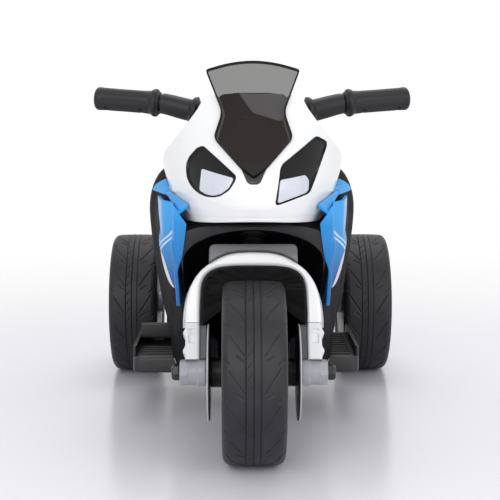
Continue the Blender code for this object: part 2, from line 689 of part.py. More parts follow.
leg_left = make_fork_leg()
leg_right = mirrored(leg_left, "fork_leg_right", silver)
outer = arch_edge(LEG_OUTER_X, ARCH_TOP, ARCH_SHOULDERS, 0.030)
inner = arch_edge(LEG_INNER_X, ARCH_TOP - ARCH_THICKNESS, ARCH_INNER_SHOULDERS, 0.014)
arch_loop = outer + [(-x, z) for x, z in reversed(outer) if x > 0.0001]
arch_loop += [(-x, z) for x, z in inner] + [(x, z) for x, z in reversed(inner) if x > 0.0001]
arch = upright("fork_arch", arch_loop, 2 * LEG_HALF_DEPTH, white)
soft_edge = arch.modifiers.new("rounding", "BEVEL")
soft_edge.width = 0.003
soft_edge.segments = 1
soft_edge.limit_method = "ANGLE"
soft_edge.angle_limit = math.radians(50)

crown_outline = rounded([(CROWN_HALF_WIDTH, ARCH_TOP - 0.030), (CROWN_HALF_WIDTH, CROWN_TOP),
                         (-CROWN_HALF_WIDTH, CROWN_TOP), (-CROWN_HALF_WIDTH, ARCH_TOP - 0.030)],
                        0.006)
crown = upright("fork_crown", crown_outline, 2 * CROWN_HALF_DEPTH, grey)
arch_space = [(x * 1.006 + 0.0002, z + 0.0004) for x, z in outer]
arch_space += [(-x, z) for x, z in reversed(arch_space) if x > 0.0003]
cut(crown, upright("arch_space", arch_space, 0.1, None))



def make_mudguard():
    """Black guard that follows the arch's inner edge from before the tyre to behind it."""
    edge = [(max(x - GAP * 1.5, 0.0), z - GAP * 1.5) for x, z in inner[1:]]
    under = [(max(x - GUARD_WALL, 0.0), z - GUARD_WALL) for x, z in edge]
    section = [(-x, z) for x, z in edge] + [(x, z) for x, z in reversed(edge[:-1])]
    section += under + [(-x, z) for x, z in reversed(under[:-1])]
    top = edge[-1][1]
    rings = []
    for k in range(GUARD_STEPS + 1):
        swing = GUARD_FRONT + (GUARD_BACK - GUARD_FRONT) * k / GUARD_STEPS
        draw = min(max(swing / GUARD_DRAWN_IN, 0.0), 1.0)
        draw = draw * draw * (3 - 2 * draw)
        narrow = 1 - (1 - GUARD_HALF_WIDTH / LEG_INNER_X) * draw
        drop = (top - GUARD_RADIUS) * draw
        rings.append([(x * narrow, (z - drop) * math.sin(swing), (z - drop) * math.cos(swing))
                      for x, z in section])
    return loft("front_mudguard", rings, black, STEERING)


make_mudguard()

# Steering column, front axle and its cap nuts
column_start, column_end = CROWN_TOP + GAP, YOKE_BOTTOM - GAP
rod("steering_column", COLUMN_RADIUS, column_end - column_start, steel, 20,
    STEERING @ at(z=(column_start + column_end) / 2))
axle_half = BOSS_OUTER_X + CAP_LENGTH - 0.0022
rod("front_axle", AXLE_RADIUS, 2 * axle_half, steel, 16, STEERING @ ALONG_X)
cap_place = STEERING @ at(BOSS_OUTER_X + GAP + CAP_LENGTH / 2) @ ALONG_X
axle_cap = rod("axle_cap_left", CAP_RADIUS, CAP_LENGTH, black, 6, cap_place)
cut(axle_cap, rod("cap_bore", AXLE_RADIUS + GAP, CAP_LENGTH, None, 16, cap_place @ at(z=-0.0018)))
mirrored(axle_cap, "axle_cap_right", black)


# Handlebar with its yoke, grips and button cover
def aim(start, end):
    """A place at start with its local Z towards end."""
    return Matrix.Translation(start) @ (end - start).to_track_quat("Z", "Y").to_matrix().to_4x4()


grip_length = (GRIP_END - GRIP_START).length
along_grip = (GRIP_END - GRIP_START) / grip_length
core_end = GRIP_START + along_grip * (grip_length - 0.0050)
core_share = CORE_RADIUS / BAR_RADIUS
half_bar = [(FLARE_POINT, 1.0), (GRIP_START - along_grip * 0.0015, 1.0),
            (GRIP_START - along_grip * 0.0010, core_share), (core_end, core_share)]
left_bar = [((-p.x, p.y, p.z), share) for p, share in reversed(half_bar)]
bar = left_bar + [(BAR_MIDDLE, 1.0)] + [(tuple(p), share) for p, share in half_bar]
handlebar = tube("handlebar", [p for p, share in bar], BAR_RADIUS, black, 3, [s for p, s in bar])
yoke = box("bar_yoke", (-0.026, -0.015, YOKE_BOTTOM), (0.026, 0.017, YOKE_TOP), None, 0.004,
           place=STEERING)
join(handlebar, yoke)
for side in (1, -1):
    start = Vector((side * FLARE_POINT.x, FLARE_POINT.y, FLARE_POINT.z))
    end = Vector((side * GRIP_START.x, GRIP_START.y, GRIP_START.z))
    flare_form = bmesh.new()
    bmesh.ops.create_cone(flare_form, cap_ends=True, segments=20, radius1=FLARE_RADIUS,
                          radius2=BAR_RADIUS * 0.96, depth=0.006)
    join(handlebar, from_bmesh(f"bar_flare_{side}", flare_form, None, aim(start, end)))

collar, collar_end = GRIP_RADIUS + 0.0024, 0.0095
grip_profile = [(0.0, grip_length), (GRIP_RADIUS - 0.002, grip_length),
                (GRIP_RADIUS, grip_length - 0.003), (GRIP_RADIUS, collar_end + 0.001),
                (collar, collar_end), (collar, 0.0015), (collar - 0.001, 0.0),
                (CORE_RADIUS + GAP, 0.0), (CORE_RADIUS + GAP, grip_length - 0.0045),
                (0.0, grip_length - 0.0045)]
grip = turned("grip_left", grip_profile, 16, black, aim(GRIP_START, GRIP_END))
mirrored(grip, "grip_right", black)

cover_top = YOKE_TOP + 0.0075
cover = box("handlebar_cover", (-0.025, -0.014, YOKE_TOP + GAP), (0.025, 0.016, cover_top), grey,
            0.003, place=STEERING)
for x, name in ((BUTTON_X, "horn_button"), (-BUTTON_X, "music_button")):
    well = rod(name + "_well", BUTTON_RADIUS + RUNNING_FIT, 0.012, None, 20,
               STEERING @ at(x, 0.001, YOKE_TOP + 0.0012 + 0.006))
    cut(cover, well)
    rod(name, BUTTON_RADIUS, 0.0060, red if x > 0 else blue, 20,
        STEERING @ at(x, 0.001, YOKE_TOP + 0.0035 + 0.0030))

# Bushes that carry the column in the wheel well and in the tank cover
bush_outer = COLUMN_RADIUS + GAP + BUSH_WALL
sweep_top = CROWN_TOP + SWEEP_HEADROOM
lower_end = LOWER_BUSH + 0.0145
turned("steering_bush_lower", [(COLUMN_RADIUS + GAP, lower_end), (bush_outer, lower_end),
       (bush_outer, sweep_top - 0.0011), (bush_outer + 0.003, sweep_top - 0.0011),
       (bush_outer + 0.003, sweep_top - 0.0026), (COLUMN_RADIUS + GAP, sweep_top - 0.0026)],
       18, nylon, STEERING)
turned("steering_bush_upper", [(COLUMN_RADIUS + GAP, UPPER_BUSH), (bush_outer, UPPER_BUSH),
       (bush_outer, UPPER_BUSH - 0.018), (COLUMN_RADIUS + GAP, UPPER_BUSH - 0.018)],
       18, nylon, STEERING)
hole_length = 0.24
bush_hole = rod("bush_hole", bush_outer + GAP, hole_length, None, 18,
                STEERING @ at(z=CROWN_TOP + hole_length / 2))

# Fairing and what is set in the nose
fairing_outline = both_halves(FAIRING_EDGE)
fairing = nose_layer("nose_fairing", 0.0, -WALL, white)
keep(fairing, front_outline("fairing_outline", fairing_outline))
fairing_space = nose_layer("fairing_space", GAP * 1.5, -WALL - GAP * 1.5, None)
keep(fairing_space, front_outline("fairing_space_outline", grow(fairing_outline, GAP * 1.5)))

for name, bezel_outline, lens_outline in (("right", ROUND_BEZEL, ROUND_LENS),
                                          ("left", ANGLED_BEZEL, ANGLED_LENS)):
    cut(fairing, front_outline(f"{name}_bezel_space", grow(bezel_outline, GAP)))
    bezel = nose_layer(f"headlight_bezel_{name}", 0.0004, -0.0045, black)
    keep(bezel, front_outline(f"{name}_bezel_outline", bezel_outline))
    cut(bezel, front_outline(f"{name}_lens_space", grow(lens_outline, GAP)))
    lens = nose_layer(f"headlight_lens_{name}", 0.0009, -0.0035, silver)
    keep(lens, front_outline(f"{name}_lens_outline", lens_outline))

windshield = nose_layer("windshield", GAP * 1.5 + 0.0024, GAP * 1.5, smoke)
keep(windshield, front_outline("screen_outline", both_halves(SCREEN_EDGE)))
insert = nose_layer("nose_insert", 0.0, -WALL, grey)
keep(insert, front_outline("insert_outline", both_halves(INSERT_EDGE)))
dashboard = nose_layer("dashboard", -WALL - GAP * 1.5, -WALL - 0.003, black)
keep(dashboard, front_outline("hood_outline", both_halves(HOOD_EDGE)))
dial_pod = box("dial_pod", (-0.022, -0.012, 0.0), (0.022, 0.030, 0.030), None, 0.003,
               place=at(y=-0.184, z=0.3175) @ Matrix.Rotation(math.radians(-12), 4, "X"))
join(dashboard, keep(dial_pod, nose_layer("dial_pod_reach", -WALL - 0.002, -0.045, None)))

# Black body: two hollow halves, with the wheel well and arch panel in front
body_hollow = body_solid("body_hollow", -WALL, front=0.010, back=-WALL)
frame_space = box("frame_space", (-FRAME_HALF_WIDTH - GAP, FRAME_FRONT_Y - GAP, -0.05),
                  (FRAME_HALF_WIDTH + GAP, FRAME_BACK_Y + GAP, FRAME_TOP + GAP), None)
seat_bay = box("seat_bay", (-BAY_HALF_WIDTH, BAY_FRONT_Y, 0.18), (BAY_HALF_WIDTH, BAY_BACK_Y, 0.40),
               None, 0.008)
socket_hole = rod("socket_hole", SOCKET_RADIUS + GAP, 0.04, None, 20,
                  at(SOCKET_X, SOCKET_Y, SOCKET_Z) @ ALONG_X)
for side, name in ((1, "left"), (-1, "right")):
    half = body_solid("unused", 0.0)
    shell = add(f"chassis_{name}", half.data, black)
    bpy.data.objects.remove(half)
    near, far = sorted((side * GAP / 2, side * 0.3))
    half_space = box(f"half_space_{name}", (near, -0.5, -0.1), (far, 0.5, 0.6), None)
    cut(shell, body_hollow)
    keep(shell, half_space)
    cut(shell, steering_sweep, bush_hole, frame_space, seat_bay, fairing_space)
    if side > 0:
        cut(shell, socket_hole)

panel_front = [body_ring(BODY_FRONT_Y, -0.0004), body_ring(BODY_FRONT_Y, -0.0004),
               body_ring(BODY_FRONT_Y, -0.0030)]
for ring, y in zip(panel_front, (BODY_FRONT_Y - GAP, BODY_FRONT_Y - 0.0025, BODY_FRONT_Y - 0.0045)):
    for point in ring:
        point.y = y
arch_panel = loft("arch_panel", panel_front, black)
well = sweep_form("well_outer", WELL_WALL)
keep(well, body_solid("body_inner", -WALL - GAP, front=0.003, back=-WALL))
join(arch_panel, well)
cut(arch_panel, steering_sweep, bush_hole)


# Blue side panels and the fins above them
side_view = Matrix(((0, 0, 1, 0), (1, 0, 0, 0), (0, 1, 0, 0), (0, 0, 0, 1)))
panel_left = plate("side_panel_left", rounded(PANEL_EDGE, 0.003, 2), 0.20, blue, at(x=0.162) @ side_view)
keep(panel_left, panel_reach)
cut(panel_left, body_clear, fairing_space)
mirrored(panel_left, "side_panel_right", blue)
fin_rings = []
for y, reach, low, high in FIN_STATIONS:
    fin_rings.append([(reach - 0.012, y, low), (reach, y, low + 0.001), (reach - 0.001, y, high),
                      (reach - 0.012, y, high)])
fin_left = loft("air_fin_left", fin_rings, blue)
cut(fin_left, body_clear, nose_layer("nose_outside", GAP * 1.5, -0.016, None))
mirrored(fin_left, "air_fin_right", blue)


# Tank cover, seat and tail: lofts that sit on the body
def crown_rings(stations, inset, depth):
    """Sections with a rounded top and upright sides, drawn in by an inset on every side."""
    rings = []
    for y, half, high in stations:
        wide, top, base = half - inset, high - inset, through(BODY_TOP, y) - depth
        ring = [(wide * 0.96, y, base)]
        for k in range(9):
            lean = math.pi * k / 8
            x = wide * math.copysign(abs(math.cos(lean)) ** 0.6, math.cos(lean))
            ring.append((x, y, top - SHOULDER_DROP * (1 - math.sin(lean) ** 0.75)))
        ring.append((-wide * 0.96, y, base))
        rings.append([Vector(point) for point in ring])
    return rings


def crowned(name, stations, material):
    """A hollow cover from (place, half width, height) stations, whose rim sits on the body."""
    inside = crown_rings(stations, WALL, 2 * COVER_DEPTH)
    for ring, end in ((inside[0], WALL), (inside[-1], -WALL)):
        for point in ring:
            point.y += end
    cover = loft(name, crown_rings(stations, 0.0, COVER_DEPTH), material)
    return cut(cover, body_clear, loft(name + "_inside", inside, None))


tank = crowned("tank_cover", TANK_STATIONS, white)
cut(tank, bush_hole)
crowned("seat", SEAT_STATIONS, black)
crowned("tail_cowl", TAIL_STATIONS, white)
light_y = TAIL_STATIONS[-1][0]
tail_light = box("tail_light", (-0.021, light_y + GAP, 0.292), (0.021, light_y + LIGHT_DEPTH, 0.318), red, 0.003)

for x, name in ((0.024, "power_switch"), (-0.024, "direction_switch")):
    level = through([(y, high) for y, half, high in TANK_STATIONS], SWITCH_Y) - 0.0012
    cut(tank, box(name + "_well", (x - 0.0082, SWITCH_Y - 0.0062, level - 0.0100),
                  (x + 0.0082, SWITCH_Y + 0.0062, level + 0.03), None))
    box(name, (x - 0.0075, SWITCH_Y - 0.0050, level - 0.0085), (x + 0.0075, SWITCH_Y + 0.0050,
        level + 0.0022), red if x > 0 else grey, 0.001, 1)

turned("charging_socket", [(SOCKET_RADIUS, 0.008), (SOCKET_RADIUS, -0.006), (0.0, -0.006),
       (0.0, -0.0035), (0.0022, -0.0035), (0.0022, 0.008)], 20, grey,
       at(SOCKET_X, SOCKET_Y, SOCKET_Z) @ ALONG_X)


# Footrests, the accelerator pedal and its switch
def make_footrest(name, side, reach):
    """A tray under the foot: rounded front, anti-slip ribs and a raised outer lip."""
    inner_x = 0.072

    def span(x0, x1):
        return sorted((side * x0, side * x1))

    def block(label, x0, x1, y0, y1, z0, z1, material=None, bevel=0.0):
        low, high = span(x0, x1)
        return box(label, (low, y0, z0), (high, y1, z1), material, bevel)

    tray = block(name, inner_x, reach, FOOTREST_FRONT_Y, FOOTREST_BACK_Y, FOOTREST_BOTTOM,
                 FOOTREST_TOP, black, 0.006)
    join(tray, block(name + "_lip", reach - 0.0035, reach, FOOTREST_FRONT_Y + 0.012,
                     FOOTREST_BACK_Y - 0.008, FOOTREST_BOTTOM + 0.004, FOOTREST_TOP + 0.0115, None, 0.0015))
    rib_end = FOOTREST_BACK_Y - 0.012 if side > 0 else PEDAL_FRONT_Y - 0.006
    y = FOOTREST_FRONT_Y + 0.016
    while y < rib_end:
        join(tray, block(f"{name}_rib_{y:.3f}", inner_x + 0.020, reach - 0.009, y, y + 0.003,
                         FOOTREST_TOP - 0.001, FOOTREST_TOP + 0.0018))
        y += 0.013
    cut(tray, block(name + "_hollow", inner_x + 0.016, reach - 0.0055, FOOTREST_FRONT_Y + 0.0035,
                    FOOTREST_BACK_Y - 0.0035, FOOTREST_BOTTOM - 0.01, FOOTREST_TOP - 0.0030))
    return cut(tray, body_clear)


make_footrest("footrest_left", 1, LEFT_FOOTREST_X)
rest = make_footrest("footrest_right", -1, RIGHT_FOOTREST_X)
pedal_low = FOOTREST_TOP + PEDAL_TRAVEL + 0.001
heel_z = FOOTREST_TOP + 0.0065
pedal_side = rounded([(PEDAL_HEEL_Y + 0.0035, heel_z + 0.0035), (PEDAL_FRONT_Y, PEDAL_TOP),
                      (PEDAL_FRONT_Y, pedal_low), (PEDAL_FRONT_Y + 0.020, pedal_low),
                      (PEDAL_HEEL_Y + 0.0035, heel_z - 0.0035)], 0.002, 2)
pedal_middle = -(PEDAL_INNER_X + PEDAL_OUTER_X) / 2
pedal_width = PEDAL_OUTER_X - PEDAL_INNER_X
pedal = plate("accelerator_pedal", pedal_side, pedal_width, black, at(x=pedal_middle) @ side_view)
pin = rod("pedal_pin", PEDAL_PIN_RADIUS, pedal_width + 0.008, None, 14,
          at(pedal_middle, PEDAL_HEEL_Y, heel_z) @ ALONG_X)
join(pedal, pin)
for x in (-PEDAL_INNER_X + 0.0025, -PEDAL_OUTER_X - 0.0025):
    ear = box(f"pedal_ear_{x:.3f}", (x - 0.0020, PEDAL_HEEL_Y - 0.006, FOOTREST_TOP - 0.002),
              (x + 0.0020, PEDAL_HEEL_Y + 0.006, heel_z + 0.0045), None, 0.001, 1)
    join(rest, ear)
cut(rest, rod("pedal_pin_hole", PEDAL_PIN_RADIUS + GAP, pedal_width + 0.0088, None, 14,
              at(pedal_middle, PEDAL_HEEL_Y, heel_z) @ ALONG_X))
switch_y = PEDAL_FRONT_Y + 0.030
box("pedal_switch", (pedal_middle - 0.006, switch_y - 0.004, FOOTREST_TOP + GAP),
    (pedal_middle + 0.006, switch_y + 0.004, FOOTREST_TOP + 0.0030), grey, 0.0005, 1)

# Rear frame with the gearbox, motor and battery
rear_frame = box("rear_frame", (-FRAME_HALF_WIDTH, FRAME_FRONT_Y, FRAME_BOTTOM),
                 (FRAME_HALF_WIDTH, FRAME_BACK_Y, FRAME_TOP), black, 0.0070, 3)
frame_inside = FRAME_HALF_WIDTH - WALL
cut(rear_frame, box("frame_hollow", (-frame_inside, FRAME_FRONT_Y + WALL, FRAME_BOTTOM - 0.02),
                    (frame_inside, FRAME_BACK_Y - WALL, FRAME_TOP - WALL), None),
    rod("axle_hole", bush_body + GAP, 0.30, None, 20, at(0, REAR_AXLE_Y, AXLE_HEIGHT) @ ALONG_X))
gear_outline = []
for k in range(24):
    angle = 2 * math.pi * k / 24
    middle_y, middle_z, radius = (REAR_AXLE_Y, AXLE_HEIGHT, 0.022) if math.cos(angle) > 0 else (
        MOTOR_Y, MOTOR_Z, 0.017)
    gear_outline.append((middle_y + radius * math.cos(angle), middle_z + radius * math.sin(angle)))
gearbox_end = frame_inside - GAP
gearbox = plate("gearbox", gear_outline, gearbox_end - GEARBOX_START, grey,
                at(x=(gearbox_end + GEARBOX_START) / 2) @ side_view)
cut(gearbox, rod("gearbox_bore", bush_body + GAP, 0.10, None, 20,
                 at(0.1, REAR_AXLE_Y, AXLE_HEIGHT) @ ALONG_X))
rod("motor", MOTOR_RADIUS, MOTOR_LENGTH, steel, 20,
    at(GEARBOX_START - GAP - MOTOR_LENGTH / 2, MOTOR_Y, MOTOR_Z) @ ALONG_X)
floor_z = max(through(BODY_BOTTOM, y) for y in (BATTERY_Y, BATTERY_Y + BATTERY[1])) + WALL + GAP * 2
box("battery", (-BATTERY[0] / 2, BATTERY_Y, floor_z), (BATTERY[0] / 2, BATTERY_Y + BATTERY[1],
    floor_z + BATTERY[2]), grey, 0.003)


# Each moving group hangs on an empty that stands on the axis of its joint
def hang(pivot, place, *names):
    """Parent the named pieces to a new empty, leaving them where they are."""
    joint = bpy.data.objects.new(pivot, None)
    CUTTERS.objects.link(joint)
    joint.matrix_world = place
    for name in names:
        piece = bpy.data.objects[name]
        piece.parent = joint
        piece.matrix_parent_inverse = place.inverted()


hang("steering_pivot", STEERING, "steering_column", "fork_crown", "fork_arch", "fork_leg_left",
     "fork_leg_right", "front_mudguard", "front_axle", "axle_cap_left", "axle_cap_right",
     "handlebar", "handlebar_cover", "grip_left", "grip_right", "horn_button", "music_button")
hang("front_wheel_pivot", at(0, FRONT_AXLE_Y, AXLE_HEIGHT), "front_hub", "front_tyre",
     "brake_disc_left", "brake_disc_right")
for side, name in ((1, "left"), (-1, "right")):
    hang(f"rear_{name}_pivot", at(side * REAR_WHEEL_X, REAR_AXLE_Y, AXLE_HEIGHT),
         f"rear_{name}_hub", f"rear_{name}_tyre", f"rear_cap_{name}")
hang("pedal_pivot", at(pedal_middle, PEDAL_HEEL_Y, heel_z), "accelerator_pedal")
hang("seat_pivot", at(0, SEAT_STATIONS[0][0], SEAT_STATIONS[0][2] + 0.0005), "seat")

# Stand the toy on its own tyres
for obj in list(PARTS.objects) + list(CUTTERS.objects):
    if obj.parent is None:
        obj.matrix_world = at(z=WHEEL_RADIUS - AXLE_HEIGHT) @ obj.matrix_world
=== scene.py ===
"""A small child's ride-on motorcycle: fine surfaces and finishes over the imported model."""
import math

import bmesh
import bpy
import numpy as np
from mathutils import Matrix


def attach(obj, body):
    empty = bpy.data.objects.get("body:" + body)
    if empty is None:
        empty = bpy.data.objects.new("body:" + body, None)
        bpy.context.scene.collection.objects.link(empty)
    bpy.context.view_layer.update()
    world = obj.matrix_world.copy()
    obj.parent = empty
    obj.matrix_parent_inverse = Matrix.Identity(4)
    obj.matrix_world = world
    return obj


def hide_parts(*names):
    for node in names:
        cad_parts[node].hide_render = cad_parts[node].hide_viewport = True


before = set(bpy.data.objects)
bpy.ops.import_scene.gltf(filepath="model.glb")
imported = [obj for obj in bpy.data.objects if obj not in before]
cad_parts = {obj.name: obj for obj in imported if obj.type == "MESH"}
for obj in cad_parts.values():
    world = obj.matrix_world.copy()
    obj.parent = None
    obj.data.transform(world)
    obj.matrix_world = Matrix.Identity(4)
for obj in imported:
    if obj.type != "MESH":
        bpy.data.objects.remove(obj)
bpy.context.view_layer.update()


# The stage: a pale floor that turns white with distance, a white background, two large soft
# lamps in front and one behind, and the camera that stands level with the headlights.
def maths(operation, turned=False):
    """An operator that adds one Math node; a turned one swaps its two values."""
    return lambda self, other: self.look.node(
        "Math", {"operation": operation}, {0: other, 1: self} if turned else {0: self, 1: other})


class Signal:
    """One output socket of a look; arithmetic on it adds Math nodes."""

    __add__, __radd__ = maths("ADD"), maths("ADD", True)
    __sub__, __rsub__ = maths("SUBTRACT"), maths("SUBTRACT", True)
    __mul__, __rmul__ = maths("MULTIPLY"), maths("MULTIPLY", True)
    __pow__, maximum, minimum = maths("POWER"), maths("MAXIMUM"), maths("MINIMUM")
    turn_from = maths("ARCTAN2")

    def __init__(self, look, socket):
        self.look, self.socket = look, socket

    def worked(self, operation):
        return self.look.node("Math", {"operation": operation}, {0: self})

    def __abs__(self):
        return self.worked("ABSOLUTE")

    def rise(self, low, high):
        """0 below low and 1 above high, with an eased step between them."""
        return self.look.node("MapRange", {"interpolation_type": "SMOOTHSTEP"},
                              {"Value": self, "From Min": low, "From Max": high})


class Look:
    """A material under construction, with one method that adds any node."""

    def __init__(self, name, target=None):
        self.material = target or bpy.data.materials.new(name)
        self.material.use_nodes = True
        self.tree = self.material.node_tree
        self.tree.nodes.clear()

    def node(self, kind, settings, sockets, out=0):
        """Add a node: settings first, then values or links for its sockets."""
        made = self.tree.nodes.new("ShaderNode" + kind)
        for name, value in settings.items():
            setattr(made, name, value)
        for name, value in sockets.items():
            if isinstance(value, Signal):
                self.tree.links.new(value.socket, made.inputs[name])
            else:
                made.inputs[name].default_value = value
        return Signal(self, made.outputs[out]) if made.outputs else None

    def place(self):
        return self.node("TexCoord", {}, {}, "Object")

    def axes(self):
        split = self.node("SeparateXYZ", {}, {"Vector": self.place()})
        return [Signal(self, socket) for socket in split.socket.node.outputs]

    def noise(self, scale, detail=3.0, stretch=(1.0, 1.0, 1.0), roughness=0.5):
        """Soft noise from 0 to 1; a stretch scales the place along each axis first."""
        where = self.node("Mapping", {}, {"Vector": self.place(), "Scale": stretch})
        return self.node("TexNoise", {},
                         {"Vector": where, "Scale": scale, "Detail": detail,
                          "Roughness": roughness})

    def mixed(self, share, first, second):
        """A colour between two others by a share."""
        first, second = (end if isinstance(end, Signal) else (*end, 1.0)
                         for end in (first, second))
        return self.node("Mix", {"data_type": "RGBA"},
                         {0: share, 6: first, 7: second}, 2)

    def finished(self, colour, roughness, height=None, relief=0.0, **constants):
        """Close the look with the main shader; a height signal becomes relief in metres."""
        sockets = {"Base Color": colour, "Roughness": roughness}
        sockets.update({name.replace("_", " "): value for name, value in constants.items()})
        if height is not None:
            sockets["Normal"] = self.node(
                "Bump", {}, {"Height": height, "Strength": 1.0, "Distance": relief})
        shader = self.node("BsdfPrincipled", {}, sockets)
        self.node("OutputMaterial", {}, {"Surface": shader})
        return self.material


def in_scene(name, data):
    made = bpy.data.objects.new(name, data)
    bpy.context.scene.collection.objects.link(made)
    return made


def light_plane(name, place, size, power):
    """A soft square lamp that points at the middle of the toy."""
    lamp = bpy.data.lights.new(name, "AREA")
    lamp.shape, lamp.size, lamp.energy = "SQUARE", size, power
    stand = in_scene(name, lamp)
    stand.location = place
    away = np.subtract(place, (0.0, 0.0, 0.2))
    stand.rotation_euler = (math.atan2(math.hypot(away[0], away[1]), away[2]), 0.0,
                            math.atan2(away[0], -away[1]))


view = bpy.data.cameras.new("view")
view.sensor_width, view.lens = 36.0, 83.376
camera = in_scene("view", view)
camera.location = (-0.0141, -1.386, 0.3585)
camera.rotation_euler = (math.radians(90 - 6.98), 0.0, -0.0090)
bpy.context.scene.camera = camera
bpy.context.scene.view_settings.view_transform = "Standard"

white_room = Look("room", bpy.data.worlds.new("room"))
bpy.context.scene.world = white_room.material
rays = white_room.node("LightPath", {}, {}).socket.node.outputs
seen = (Signal(white_room, rays["Is Camera Ray"]) + Signal(white_room, rays["Is Glossy Ray"])
        + Signal(white_room, rays["Is Transmission Ray"])).rise(0.0, 1.0)
room_strength = seen + 0.62 * (1.0 - seen)
room_glow = white_room.node(
    "Background", {}, {"Color": (1.0, 1.0, 1.0, 1.0), "Strength": room_strength})
white_room.node("OutputWorld", {}, {"Surface": room_glow})

light_plane("key_lamp", (-0.7, -2.3, 1.3), 1.6, 22.0)
light_plane("fill_lamp", (1.4, -1.9, 1.0), 1.6, 14.0)
light_plane("top_lamp", (0.1, 0.7, 2.0), 1.2, 9.0)

floor_mesh = bpy.data.meshes.new("floor")
floor_mesh.from_pydata([(-6, -6, 0), (6, -6, 0), (6, 6, 0), (-6, 6, 0)], [], [(0, 1, 2, 3)])
floor = in_scene("floor", floor_mesh)
paving = Look("pale_floor")
across, along, upward = paving.axes()
distance = (across * across + (along - 0.05) * (along - 0.05)) ** 0.5
tone = paving.mixed(distance.rise(0.35, 1.1), (0.88, 0.87, 0.93), (0.98, 0.98, 0.98))
ground = paving.node("BsdfPrincipled", {}, {
    "Base Color": tone, "Roughness": 0.16 + 0.10 * paving.noise(6.0, 2.0)})
glow = paving.node("Emission", {}, {"Color": (1.0, 1.0, 1.0, 1.0), "Strength": 1.0})
shown = paving.node("MixShader", {}, {0: distance.rise(0.5, 1.6), 1: ground, 2: glow})
paving.node("OutputMaterial", {}, {"Surface": shown})
floor_mesh.materials.append(paving.material)


# Tyres: blow-moulded hollow rings of hard dark plastic, pressed over the hubs. Three grooves
# run round the tread, one lane between them has slanting dashes, and sipes lean outwards.
WHEEL_RADIUS, TYRE_HALF, BEAD_RADIUS = 0.093, 0.0315, 0.062
TREAD_HALF, FLAT_HALF, ROUNDING = 0.0295, 0.0225, 0.009
FRONT_AXLE = np.array((0.0, -0.237, WHEEL_RADIUS))
REAR_AXLE = np.array((0.0, 0.197, WHEEL_RADIUS))
REAR_WHEEL_X = 0.1545
SIDES = ((1, "left"), (-1, "right"))


def through(table, at):
    """Smooth curve through (place, value) rows: each slope is that between its neighbours,
    and the cubic between two rows keeps both their values and slopes."""
    place, value = np.asarray(table, float).T
    before, after = np.r_[0, :len(place) - 1], np.r_[1:len(place), len(place) - 1]
    slope = (value[after] - value[before]) / (place[after] - place[before])
    at = np.clip(at, place[0], place[-1])
    i = np.clip(np.searchsorted(place, at, side="right") - 1, 0, len(place) - 2)
    step = place[i + 1] - place[i]
    t = (at - place[i]) / step
    rise = value[i] * (2 * t**3 - 3 * t**2 + 1) + value[i + 1] * (3 * t**2 - 2 * t**3)
    return rise + step * (slope[i] * (t**3 - 2 * t**2 + t) + slope[i + 1] * (t**3 - t**2))


def points(*axes):
    """Coordinates spread to a common shape and put together as points."""
    return np.stack(np.broadcast_arrays(*axes), -1)


def circle(steps):
    """Angles once round; the last one falls on the first."""
    return np.linspace(0, 2 * np.pi, steps + 1)


def eased(corners, reach, steps, closed=True):
    """Outline whose corners are replaced by the curve (1-t)^2 A + 2t(1-t) P + t^2 B, where A
    and B lie on the two sides at a reach from the corner P; a closed one ends where it starts."""
    corners = np.asarray(corners, float)
    before, after = np.roll(corners, 1, 0) - corners, np.roll(corners, -1, 0) - corners
    reach = np.broadcast_to(reach, len(corners)).astype(float).copy()
    if not closed:
        reach[[0, -1]] = 0.0
    near, far = (corners + side * np.minimum(0.48, reach / np.linalg.norm(side, axis=1))[:, None]
                 for side in (before, after))
    t = np.linspace(0, 1, steps + 1)[None, :, None]
    curve = ((1 - t) ** 2 * near[:, None] + 2 * t * (1 - t) * corners[:, None]
             + t ** 2 * far[:, None]).reshape(-1, corners.shape[1])
    return np.vstack((curve, curve[:1])) if closed else curve


def rectangle(low, high, corner, steps=4):
    """The outline of a rectangle between two opposite corners, with all four eased."""
    return eased([low, (high[0], low[1]), high, (low[0], high[1])], corner, steps)


def spaced(curve, count):
    """The same curve by a count of points at equal distances along it."""
    length = np.r_[0.0, np.cumsum(np.linalg.norm(np.diff(curve, axis=0), axis=1))]
    at = np.linspace(0, length[-1], count)
    return points(*(np.interp(at, length, column) for column in curve.T))


def ramp(value, start, width):
    """0 up to the start, 1 from a width further on, and a straight line between."""
    return np.clip((value - start) / width, 0, 1)


def within(value, low, high, width):
    """1 between two places and 0 outside them, by a ramp inside each."""
    return ramp(value, low, width) * ramp(-value, -high, width)


def bell(value, middle, width):
    """A bell curve: exp of minus the square of the distance in widths."""
    return np.exp(-((value - middle) / width) ** 2)


def unit(vectors):
    """Vectors along the last axis, each divided by its length."""
    return vectors / np.maximum(np.linalg.norm(vectors, axis=-1, keepdims=True), 1e-12)


def lathe(profile, steps, start, towards=(1.0, 0.0, 0.0), zero=(0.0, -1.0, 0.0)):
    """A profile of (place along, radius) carried round an axis: each point stands off the axis
    by its radius, in the zero direction times the cosine plus the third times the sine."""
    axis = unit(np.asarray(towards, float))
    zero = unit(np.asarray(zero, float) - axis * np.dot(zero, axis))
    third = np.cross(zero, axis)
    turn = circle(steps)[:, None]
    spoke = np.cos(turn) * zero + np.sin(turn) * third
    profile = np.asarray(profile, float)
    along, radius = (profile[None, :, k, None] if profile.ndim == 2 else profile[:, :, k, None]
                     for k in (0, 1))
    return np.asarray(start, float) + along * axis + radius * spoke[:, None]


